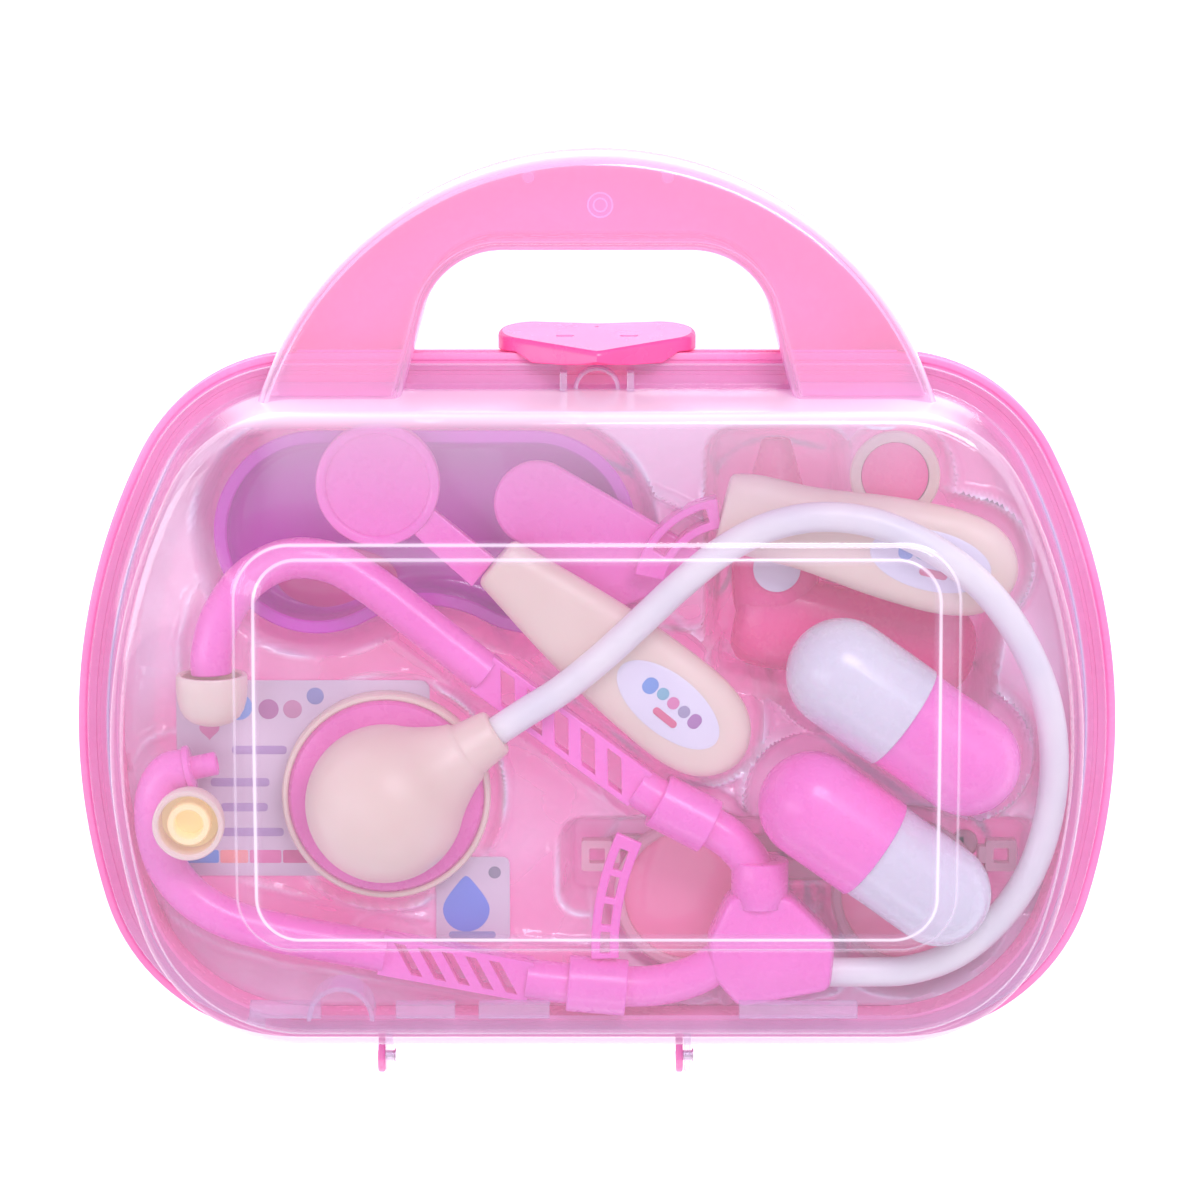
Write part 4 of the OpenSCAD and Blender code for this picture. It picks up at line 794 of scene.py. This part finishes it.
grips = {"mirror": {"centre": (5.5, 10), "turn": -39.5, "length": 80, "neck": 6.5},
         "paddle": {"centre": (68.5, 40), "turn": -13.5, "length": 76, "neck": 8.5},
         "width": 27, "thick": 12, "level": levels["trayTop"] + 2.5}


def blendBody(sections, sides=48, power=2.5, k=5):
    rows = smoothPath([(*s, 0)[:4] for s in sections], k)
    rings = []
    for x, w, h, z in rows:
        row = []
        for i in range(sides):
            c, s = math.cos(2 * math.pi * i / sides), math.sin(2 * math.pi * i / sides)
            row.append((x, max(w, 0.05) * math.copysign(abs(c) ** (2 / power), c),
                        z + max(h, 0.05) * math.copysign(abs(s) ** (2 / power), s)))
        rings.append(row)
    return loft(rings), rows


def gripSections(g):
    h, w, t, neck = g["length"] / 2, grips["width"], grips["thick"], g["neck"]
    return [(-h, neck - 0.6, t * 0.36), (-h + 0.6, neck + 0.3, t * 0.4), (-h + 2, neck + 0.8, t * 0.43),
            (-h + 8, neck + 1.8, t * 0.46), (-h + 22, w * 0.39, t * 0.48), (-h + 40, w * 0.47, t / 2),
            (h - 20, w / 2, t / 2), (h - 10, w * 0.45, t * 0.485), (h - 4.5, w * 0.34, t * 0.42),
            (h - 1.5, w * 0.2, t * 0.3), (h - 0.3, w * 0.09, t * 0.15), (h, w * 0.02, t * 0.05)]


def squareLoop(x, y, a, b, r, n=6):
    return [p for cx, cy, s in ((x + a - r, y - b + r, -90), (x + a - r, y + b - r, 0), (x - a + r, y + b - r, 90),
                                (x - a + r, y - b + r, 180)) for p in arcPoints((cx, cy), r, s, s + 90, n)]


def gripPiece(name, key, node):
    g = grips[key]
    part, rows = blendBody(gripSections(g))
    place = turned(*g["centre"], grips["level"] + grips["thick"] / 2, g["turn"])
    makePiece(name, [moved(part, place)], cream, [node])
    # oval label, lying on the rounded top
    xs, ws, hs = ([row[i] for row in rows] for i in (0, 1, 2))
    rings = []
    for f in (0, 0.35, 0.7, 0.94, 1):
        row = []
        for i in range(64):
            a = 2 * math.pi * i / 64
            x, y = g["length"] * 0.2 + 15.5 * f * math.cos(a), 7.6 * f * math.sin(a)
            w, h = np.interp(x, xs, ws), np.interp(x, xs, hs)
            row.append((x, y, h * (1 - abs(y / w) ** 2.5) ** 0.4 + (0.14 if f < 1 else 0.02)))
        rings.append(row)
    makePiece(name + "Label", [moved(loft(rings), place)], labelFilm)
    marks = [("inkBlue", -6.6, 1, 1.9, 2.2), ("inkTeal", -2.8, 1.4, 1.5, 1.6), ("inkRose", 0.7, 1.2, 1.5, 1.6),
             ("inkGrey", 4.2, 1.2, 1.5, 1.6), ("inkPlum", 7.8, 1, 1.6, 2), ("inkRed", 1.4, -3, 3.6, 1)]
    for ink, x, y, a, b in marks:  # round marks on the label
        x += g["length"] * 0.2
        top = np.interp(x, xs, hs) * (1 - abs(y / np.interp(x, xs, ws)) ** 2.5) ** 0.4
        shape = squareLoop(x, y, a, b, min(a, b) * 0.98, 6)
        makePiece(name + ink[3:], [moved(slab(shape, top + 0.1, top + 0.24, 0.05), place)], inks[ink])


gripPiece("mirrorGrip", "mirror", "mirror_grip")
gripPiece("paddleGrip", "paddle", "paddle_grip")


def mirrorHead():
    c, r, turn = (-55, 54.5), 15.6, -39.5
    z = grips["level"]
    face = lathe([(0.05, 0), (r - 0.5, 0), (r, 0.5), (r, 4.3), (r - 0.3, 4.8), (r - 1, 5), (r - 1.9, 5),
                  (r - 2.4, 4.7), (r - 2.7, 4.1), (r - 3.4, 4), (0.05, 4)], Matrix.Translation((*c, z)), 96)
    u = (math.cos(math.radians(turn)), math.sin(math.radians(turn)))
    socket = [grips["mirror"]["centre"][i] - 40 * u[i] for i in (0, 1)]
    reach = (socket[0] - c[0]) * u[0] + (socket[1] - c[1]) * u[1] - r + 1 - 0.3
    side = [(0, 0.4), (reach * 0.5, -0.3), (reach, -0.6), (reach, 8.4), (reach * 0.5, 8.4), (0, 8.4)]
    stem = slab([(x, y) for x, y in side], 0, 4.4, 0.7)
    return [face, moved(stem, turned(*c, z, turn) @ Matrix.Translation((r - 1, -4.4, 0)))]


makePiece("mirrorHead", mirrorHead(), toolPink, ["mirror_head"])


def paddle():
    z = levels["rest"]
    left = arcPoints((-15, 49), 11, 60, 234, 28)
    outline = left + [(-8, 31.6), (6, 22.5), (14, 25.6), (22, 29), (30, 35), (20, 41), (5, 50)]
    blade = slab(outline, z, z + 3, 0.9)
    c = (33.5, 27)
    outer = arcPoints(c, 24.5, 98, 168, 30) + arcPoints(c, 17, 168, 98, 30)
    hole = arcPoints(c, 22.6, 106, 150, 24) + arcPoints(c, 19, 150, 106, 24)
    return [blade, plate(outer, [hole], z, z + 9)]


makePiece("paddleBlade", paddle(), toolPink, ["paddle_blade"], bevel=0.45)

scope = {"centre": (66, 13.5), "turn": -10, "z": levels["trayTop"] - 20.5 + levels["gap"] + 10, "head": (45.5, 0)}
h, w = 31, 12.5
handle = blendBody([(-h, 8, 4, 0), (-h + 1, 9.6, 5.4, 0), (-h + 3, w - 1, 7, 0), (-h + 10, w, 8.6, 0),
                    (0, w - 1, 8, 0),
                          (h - 14, w, 8, 0), (h - 5, w - 2, 7, 0), (h - 1.2, 7, 4.4, 0), (h, 3, 2, 0)])[0]
head = blendBody([(17, 9, 7, 0), (24, 11, 8.4, 0), (40, 11, 9, 0), (44.8, 10.8, 9, 0),
                  (45.6, 10, 8.6, 0)], power=2.2)[0]
makePiece("scopeBody", [moved(handle, turned(*scope["centre"], scope["z"], scope["turn"])),
                        moved(head, turned(*scope["head"], scope["z"], 90))], deepPink, ["scope_body"])
makePiece("scopeCone", [lathe([(0.05, 0), (9.2, 0), (9.5, 0.3), (9.5, 1.8), (9.3, 2.1), (7.7, 4), (6.4, 8), (5, 13),
                               (3.7, 17.5), (3.2, 18), (1.6, 18), (1.5, 14)],
                              Matrix.Translation((scope["head"][0], 45.9, scope["z"]))
                              @ Matrix.Rotation(math.radians(-90), 4, "X"), 72)],
          deepPink, ["scope_cone"])
makePiece("scopeWindow", [lathe([(0.05, 0), (5.8, 0), (6, 0.2), (6, 0.6), (5.7, 0.8), (0.05, 0.8)],
                                Matrix.Translation((scope["head"][0], 32, scope["z"] + 9.2)), 56)],
          labelFilm, ["scope_window"])
loupe = Matrix.Translation((75, 56, levels["rest"]))
makePiece("loupeRing", [lathe([(8.7, 0.3), (9, 0), (11, 0), (11.4, 0.4), (11.4, 1.2), (11, 1.6), (9, 1.6), (8.6, 1.3),
                               (8.7, 0.3)], loupe, 72)], cream, ["loupe_ring"])
makePiece("loupeLens", [lathe([(0.05, 0.2), (8.4, 0.2), (8.5, 0.5), (8.4, 0.9), (4, 1.2), (0.05, 1.3)], loupe, 72)],
          deepPink, ["loupe_lens"])

capsules = {"a": {"centre": (77, -3.4), "radius": 14.2, "cap": capsuleWhite, "body": toolPink,
                  "slots": ("white", "tool_pink")},
            "b": {"centre": (70.2, -37.4), "radius": 13.8, "cap": toolPink, "body": capsuleWhite,
                  "slots": ("tool_pink", "white")},
            "turn": -35.6, "length": 66.5, "step": 0.5}


def capsuleHalf(r, lip):
    h = capsules["length"] / 2
    profile = [(0.05, 0), (r - 0.3, 0), (r, 0.25)] if lip else [(0.05, 0), (r, 0)]
    if lip:
        profile += [(r, (h - r) * 0.5), (r, h - r)]
    else:
        profile += [(r - 0.15 * (1 - f), (h - r) * f) for f in (0.3, 0.6, 1)]
    profile += [(r * math.cos(math.radians(a)), h - r + r * math.sin(math.radians(a))) for a in range(6, 88, 6)]
    return profile + [(0.05, h)]


for key in ("a", "b"):
    c = capsules[key]
    for part, spin, r, lip in (("cap", 180, c["radius"], True), ("body", 0, c["radius"] - capsules["step"], False)):
        z = levels["rest"] + r
        place = turned(*c["centre"], z, spin + capsules["turn"]) @ alongX
        makePiece(f"capsule{key.upper()}{part.capitalize()}", [lathe(capsuleHalf(r, lip), place, 96)], c[part],
                  [f"capsule_{key}_{part}"])
print("stage 7: tools and capsules")

# ---- dish, spectacles and cards ----

dish = {"centre": (-43.5, 41), "radius": 26, "span": 55, "height": 13,
        "floor": levels["trayTop"] - 15 + levels["gap"], "wall": 1.4}


def kidney(g, n=40):
    half, waistR = dish["span"] / 2, 30
    a = math.degrees(math.acos(half / (dish["radius"] + waistR)))
    waist = (0, -(dish["radius"] + waistR) * math.sin(math.radians(a)))
    return (arcPoints((half, 0), dish["radius"] + g, a - 180, 90, n)
            + arcPoints((-half, 0), dish["radius"] + g, 90, 360 - a, n)
            + arcPoints(waist, waistR - g, 180 - a - 4, a + 4, 16))


def kidneyDish():
    w, top = dish["wall"], dish["height"]
    rows = [(-6, 0), (-4.4, 0.3), (-3.2, 1.2), (-2.5, 2.6), (-2, 5), (-2, top - w - 0.4), (-1.7, top - w),
            (-0.4, top - w), (0, top - w + 0.4), (0, top - 0.4), (-0.4, top), (-2.9, top), (-3.3, top - 0.4),
            (-3.4, 5), (-4, 3), (-5, 1.9), (-6.6, w)]
    return loft([[(x + dish["centre"][0], y + dish["centre"][1], z + dish["floor"]) for x, y in kidney(d)]
                 for d, z in rows])


makePiece("kidneyDish", [kidneyDish()], dishPurple, ["kidney_dish"])
# painted shadow: a deeper purple oval sheet on the dish floor where the dish's rim throws its shade, given a little
# emission
shadowOval = [(-66.5 + 15.5 * math.cos(a), 27.5 + 8 * math.sin(a)) for a in (2 * math.pi * i / 48 for i in range(48))]
makePiece("dishShadowSheet", [slab(shadowOval, dish["floor"] + 1.2, dish["floor"] + 2, 0.35)], dishShadowPurple)

specs = {"centre": (52, -54), "z": levels["trayTop"] - 14 + levels["gap"], "lens": 17, "span": 56,
         "width": 112, "thick": 4, "temple": 3}


def spectacleFrame():
    z = specs["z"] + specs["temple"] + 0.3
    parts = []
    for s in (-1, 1):
        r, cx = specs["lens"], s * specs["span"] / 2
        rimProfile = [(r, 0.4), (r + 0.4, 0), (r + 2.2, 0), (r + 2.6, 0.4), (r + 2.6, 3.4), (r + 2, 4), (r + 0.6, 4),
                      (r, 3.5), (r, 0.4)]
        parts.append(lathe(rimProfile,
                           Matrix.Translation((specs["centre"][0] + cx, specs["centre"][1] - 0.5, z)), 80))
        lugX = s * (specs["width"] / 2 - 4)
        parts.append(moved(plate(squareLoop(lugX, 10, 4, 4, 0.8), [squareLoop(lugX, 10, 2, 2, 0.4)], 0, 4),
                           Matrix.Translation((*specs["centre"], z))))
        inner, outer = specs["span"] / 2 + r + 1, specs["width"] / 2 - 7.7
        parts.append(moved(slab(squareLoop(s * (inner + outer) / 2, 10.25, (outer - inner) / 2, 2.25, 0.6),
                                0, 4, 0.4),
                           Matrix.Translation((*specs["centre"], z))))
    parts.append(moved(slab(squareLoop(0, 6.5, 13, 2.5, 0.8), 0.2, 3.8, 0.6),
                       Matrix.Translation((*specs["centre"], z))))
    return parts


makePiece("spectacleFrame", spectacleFrame(), palePink, ["spectacle_frame"], bevel=0.25)
makePiece("spectacleLenses", [lathe([(0.05, 0.1), (16.6, 0), (16.95, 0.3), (16.95, 0.9), (16.6, 1.1), (0.05, 1.3)],
                                    Matrix.Translation((specs["centre"][0] + s * 28, specs["centre"][1] - 0.5,
                                                        specs["z"] + 4.3)), 72) for s in (-1, 1)],
          lensPink, ["spectacle_lenses"])
temples = []
for s in (-1, 1):
    x, y = specs["centre"][0] - s * 3, specs["centre"][1] + s * 3.8 + 8.4
    bar = [(x - 46, y - 1.4), (x - 44, y - 2.2), (x + 42, y - 2.2), (x + 46, y - 2.2),
           (x + 46, y + 2.2), (x + 42, y + 2.2),
           (x - 44, y + 2.2), (x - 46, y + 1.4)]
    temples.append(slab(bar, specs["z"], specs["z"] + 3, 0.5))
    temples.append(lathe([(0.05, 0), (3, 0), (3.4, 0.4), (3.4, 2.6), (3, 3), (0.05, 3)],
                         Matrix.Translation((x + s * 46, y, specs["z"])), 36))
makePiece("spectacleTemples", temples, palePink, ["spectacle_temples"])

cards = {"name": {"corner": (-107, -47.5), "size": (64.5, 51)}, "small": {"corner": (-41.3, -65), "size": (19, 22.5)},
         "z": levels["rest"], "thick": levels["card"]}


def card(key, r):
    c = cards[key]
    x, y = c["corner"][0] + c["size"][0] / 2, c["corner"][1] + c["size"][1] / 2
    return slab(squareLoop(x, y, c["size"][0] / 2, c["size"][1] / 2, r, 8), cards["z"],
                cards["z"] + cards["thick"], 0.15)


def printOn(name, outline, colour):  # flat printed shape on a card
    z = cards["z"] + cards["thick"]
    ink = mouldedPlastic(name + "Ink", colour, tuple(int(c * 0.96) for c in colour), rough=0.42)
    makePiece(name, [slab(outline, z - 0.05, z + 0.06, 0.04)], ink)


def heart2d(x, y, s, n=28):
    points = []
    for i in range(n):
        a = 2 * math.pi * i / n
        points.append((x + s * 16 * math.sin(a) ** 3 / 16,
                       y + s * (13 * math.cos(a) - 5 * math.cos(2 * a) - 2 * math.cos(3 * a) - math.cos(4 * a)) / 16))
    return points[::-1]


def drop2d(x, y, r, n=30):
    return [(x + r * math.cos(a) * (1 - 0.55 * max(0, math.sin(a)) ** 2),
             y + r * math.sin(a) * (1 + 0.45 * max(0, math.sin(a))))
            for a in (2 * math.pi * i / n for i in range(n))]


makePiece("nameCard", [card("name", 2.5)], cardPaper, ["name_card"])
makePiece("smallCard", [card("small", 2)], cardPaper, ["small_card"])
stripe = [(-105.5, 9, (110, 150, 222)), (-96.5, 7.5, (248, 156, 150)), (-89, 8.5, (232, 120, 176)),
          (-80.5, 7, (214, 96, 150)), (-73.5, 8, (176, 168, 192))]
for i, (x, length, colour) in enumerate(stripe):
    printOn(f"cardStripe{i}", squareLoop(x + length / 2, -42.4, length / 2 - 0.2, 1.7, 0.5, 4), colour)
printOn("cardHeart", heart2d(-98.6, -9.4, 2.6), (228, 130, 180))
for i, (x, y, r, colour) in enumerate(((-91, -3.4, 3.4, (120, 160, 225)), (-83.5, -4, 2.6, (190, 120, 170)),
                                       (-77.4, -4, 2.4, (206, 140, 176)), (-71.6, -0.6, 2.2, (150, 150, 200)))):
    printOn(f"cardDot{i}", arcPoints((x, y), r, 0, 345, 23), colour)
for i, (x, y, half) in enumerate(((-86, -14.6, 7), (-91, -23, 7.5), (-90, -29.5, 6), (-88, -36, 8))):
    printOn(f"cardBar{i}", squareLoop(x, y, half, 1.1, 0.9, 4), (184, 150, 196))
printOn("smallCardDrop", drop2d(-33.5, -56.2, 6), (120, 140, 230))
printOn("smallCardDot", arcPoints((-26.2, -46.6), 1.6, 0, 345, 23), (150, 140, 160))
printOn("smallCardBar", squareLoop(-32, -63, 6, 0.9, 0.8, 4), (150, 140, 190))
print("stage 8: dish, spectacles and cards")

# ---- clear blister tray: a thin skin over the base, pressed up round the tools and down into the pockets ----

blister = {"around": 600, "across": 130, "ridge": 4.6, "spread": 1.4, "offset": 3.6, "slope": 4.6}


def segmentDistance(p, a, b, r):
    a, b = np.array(a, float), np.array(b, float)
    t = np.clip(((p - a) @ (b - a)) / max((b - a) @ (b - a), 1e-9), 0, 1)
    return np.linalg.norm(p - a - t[:, None] * (b - a), axis=1) - r


def loopDistance(p, loop):  # below zero inside the loop
    q = np.array(loop, float)
    best = np.full(len(p), 1e9)
    inside = np.zeros(len(p), bool)
    for a, b in zip(q, np.roll(q, -1, 0)):
        best = np.minimum(best, segmentDistance(p, a, b, 0))
        cross = (a[1] > p[:, 1]) != (b[1] > p[:, 1])
        if a[1] != b[1]:
            inside ^= cross & (p[:, 0] < (b[0] - a[0]) * (p[:, 1] - a[1]) / (b[1] - a[1]) + a[0])
    return np.where(inside, -best, best)


def blisterSkin():
    edgeLine = np.array(caseOutline(wallLine, 2.6, 60, 40), float)
    lengths = np.concatenate([[0],
                              np.cumsum(np.linalg.norm(np.diff(np.vstack([edgeLine, edgeLine[:1]]), axis=0),
                                                       axis=1))])
    looped = np.vstack([edgeLine, edgeLine[:1]])
    at = np.linspace(0, lengths[-1], blister["around"], endpoint=False)
    outer = np.stack([np.interp(at, lengths, looped[:, i]) for i in (0, 1)], 1)
    shares = [0.004] + list(np.linspace(0.012, 0.985, blister["across"])) + [1]
    centre = np.array((0.0, -4.0))
    p = np.vstack([centre + (outer - centre) * f for f in shares])
    c, s = math.cos(math.radians(capsules["turn"])), math.sin(math.radians(capsules["turn"]))
    tools = [(segmentDistance(p, (-55, 54.5), (-55, 54.5), 15.6), 1),
             (segmentDistance(p, (-43, 44), (-24, 34), 5), 0.5),
             (segmentDistance(p, (-15, 27), (26, -7), 13), 1), (segmentDistance(p, (-15, 49), (20, 32), 11.5), 1.1),
             (segmentDistance(p, (45, 45.6), (93, 34), 13.4), 1.1),
             (segmentDistance(p, (77 - 19 * c, -3.4 - 19 * s), (77 + 19 * c, -3.4 + 19 * s), 14.2), 1.5),
             (segmentDistance(p, (70.2 - 19 * c, -37.4 - 19 * s), (70.2 + 19 * c, -37.4 + 19 * s), 14), 1.5),
             (segmentDistance(p, bell["disc"], bell["disc"], 26.5), 0.9),
             (segmentDistance(p, (75, 56), (75, 56), 11.4), 0.7)]
    for key in ("upperEnd", "upperRoot", "lowerEnd", "lowerRoot"):
        route = np.array(arms[key], float)[:, :2]
        tools.append((np.min([segmentDistance(p, a, b, 5.4) for a, b in zip(route, route[1:])], axis=0), 0.35))
    for a, b in (((-29, 7.2), (11, -23)), ((-55, -65.8), (-17, -73))):
        tools.append((segmentDistance(p, a, b, 5.4), 0.3))
    tools.append((loopDistance(p, fork["outline"]), 0.6))
    keepFlat = [(loopDistance(p, squareLoop(-74.75, -22, 32.3, 25.5, 2.5)), 0),
                (loopDistance(p, squareLoop(-31.8, -53.7, 9.5, 11.3, 2)), 0)]
    clear = np.min([d for d, h in tools + keepFlat], axis=0)
    clear = np.clip((clear - 0.7) / 3, 0, 1)
    clear = clear * clear * (3 - 2 * clear)
    height = np.max([h * np.exp(-((d - blister["offset"]) / blister["spread"]) ** 2) for d, h in tools], axis=0)
    wrinkle = np.array([noise.noise(Vector((x * 0.11, y * 0.11, 3.0)))
                        + 0.5 * abs(noise.noise(Vector((x * 0.3, y * 0.3, 9.0))))
                        for x, y in p])
    z = levels["trayTop"] - 0.2 + clear * (blister["ridge"] * height + 1.0 * np.clip(wrinkle, -0.1, 1))
    pockets = [(loopDistance(p, [(x + dish["centre"][0], y + dish["centre"][1]) for x, y in kidney(1.2)]), 15.2),
               (loopDistance(p, squareLoop(52, -45, 57.5, 8.5, 2)), 14.2),
               (segmentDistance(p, (24, -54.5), (24, -54.5), 21), 14.2),
               (segmentDistance(p, (80, -54.5), (80, -54.5), 21), 14.2),
               (loopDistance(p, squareLoop(45.5, 38, 14, 26, 3)), 20.7)]
    turn = math.radians(-scope["turn"])
    q = p - np.array(scope["centre"])
    q = np.stack([q[:, 0] * math.cos(turn) - q[:, 1] * math.sin(turn),
                  q[:, 0] * math.sin(turn) + q[:, 1] * math.cos(turn)], 1)
    pockets.append((loopDistance(q, squareLoop(0, 0, 32, 13.8, 3)), 20.7))
    walls = [(np.clip(1 - (d - 0.2) / blister["slope"], 0, 1), depth) for d, depth in pockets]
    sink = np.max([depth * w * w * (3 - 2 * w) for w, depth in walls], axis=0)
    z = np.where(sink > 0.3, levels["trayTop"] - 0.2 - sink, z)
    # painted highlight lines along the ridges' crests and the pockets' rims, broken up by noise
    crest = np.max([min(1, h) * np.exp(-((d - blister["offset"]) / 0.8) ** 2) for d, h in tools], axis=0)
    crest = np.maximum(crest, np.max([0.8 * np.exp(-((d - blister["slope"]) / 0.7) ** 2)
                                           for d, h in pockets], axis=0))
    torn = np.array([noise.noise(Vector((x * 0.07, y * 0.07, 5.0))) for x, y in p])
    crest = crest * np.clip(0.35 + 1.6 * torn, 0, 1)
    z[-blister["around"]:] = levels["trayTop"] - 1.2
    n = blister["around"]
    points = [tuple((*p[i], z[i])) for i in range(len(p))]
    for f, low in ((0.99, 20), (0.975, 12), (0.955, 3.2)):  # the skirt stands inside the base's rounded wall
        points += [(*(centre + (outer[i] - centre) * f), low) for i in range(n)]
    rows = len(points) // n
    crest = list(crest) + [0.0] * (len(points) - len(crest))
    return (*loft([points[k * n:(k + 1) * n] for k in range(rows)], capped=False), crest)


skinPoints, skinFaces, skinCrestHighlight = blisterSkin()
skinFaces.append(tuple(range(blister["around"])))
makePiece("blisterTray", [(skinPoints, skinFaces)], blisterClear, ["tray"], sharp=60,
          marks={"edge": skinCrestHighlight})
print("stage 9: blister tray")

# ---- floor and light ----

studio = {"glow": 0.75, "world": 0.86, "key": 11.5, "fill": 3, "rim": 1.5}


def setStudio():
    n = Nodes("paperWhite")
    base = n.between(n.noise(6, 2), shade(252, 252, 252), shade(248, 248, 249))
    body = n.add("BsdfPrincipled", Base_Color=base, Roughness=n.remap(n.noise(200), 0.3, 0.7, 0.7, 0.85))
    body.inputs["Specular IOR Level"].default_value = 0.2
    body.inputs["Emission Color"].default_value = (1, 1, 1, 1)
    body.inputs["Emission Strength"].default_value = studio["glow"]
    mesh = bpy.data.meshes.new("floor")
    mesh.from_pydata([(x, y, 0) for x, y in ((-3, -3), (3, -3), (3, 3), (-3, 3))], [], [(0, 1, 2, 3)])
    mesh.materials.append(n.finish(body.outputs[0]))
    floor = bpy.data.objects.new("floor", mesh)
    bpy.context.scene.collection.objects.link(floor)
    world = bpy.data.worlds.new("studio")
    bpy.context.scene.world = world
    world.use_nodes = True
    world.node_tree.nodes["Background"].inputs[0].default_value = (0.97, 0.98, 1, 1)
    world.node_tree.nodes["Background"].inputs[1].default_value = studio["world"]
    for name, place, aim, size, power in (("key", (0.4, 0.85, 1.05), (0, 0, 0), (0.8, 0.5), studio["key"]),
                                          ("fill", (-0.85, 0.1, 0.8), (0, 0, 0), (0.35, 0.9), studio["fill"]),
                                          ("back", (0.0, -0.9, 0.7), (0, 0, 0.03), (0.9, 0.25), studio["rim"])):
        lamp = bpy.data.objects.new(name, bpy.data.lights.new(name, "AREA"))
        lamp.data.shape, lamp.data.size, lamp.data.size_y = "RECTANGLE", *size
        lamp.data.energy = power
        lamp.location = place
        lamp.rotation_mode = "QUATERNION"
        lamp.rotation_quaternion = (Vector(aim) - Vector(place)).to_track_quat("-Z", "Y")
        bpy.context.scene.collection.objects.link(lamp)
    look = bpy.context.scene.view_settings
    look.view_transform, look.look, look.exposure, look.gamma = "Standard", "None", 0, 1
    bpy.context.scene.cycles.transparent_max_bounces = 24


setStudio()
print("stage 10: studio")
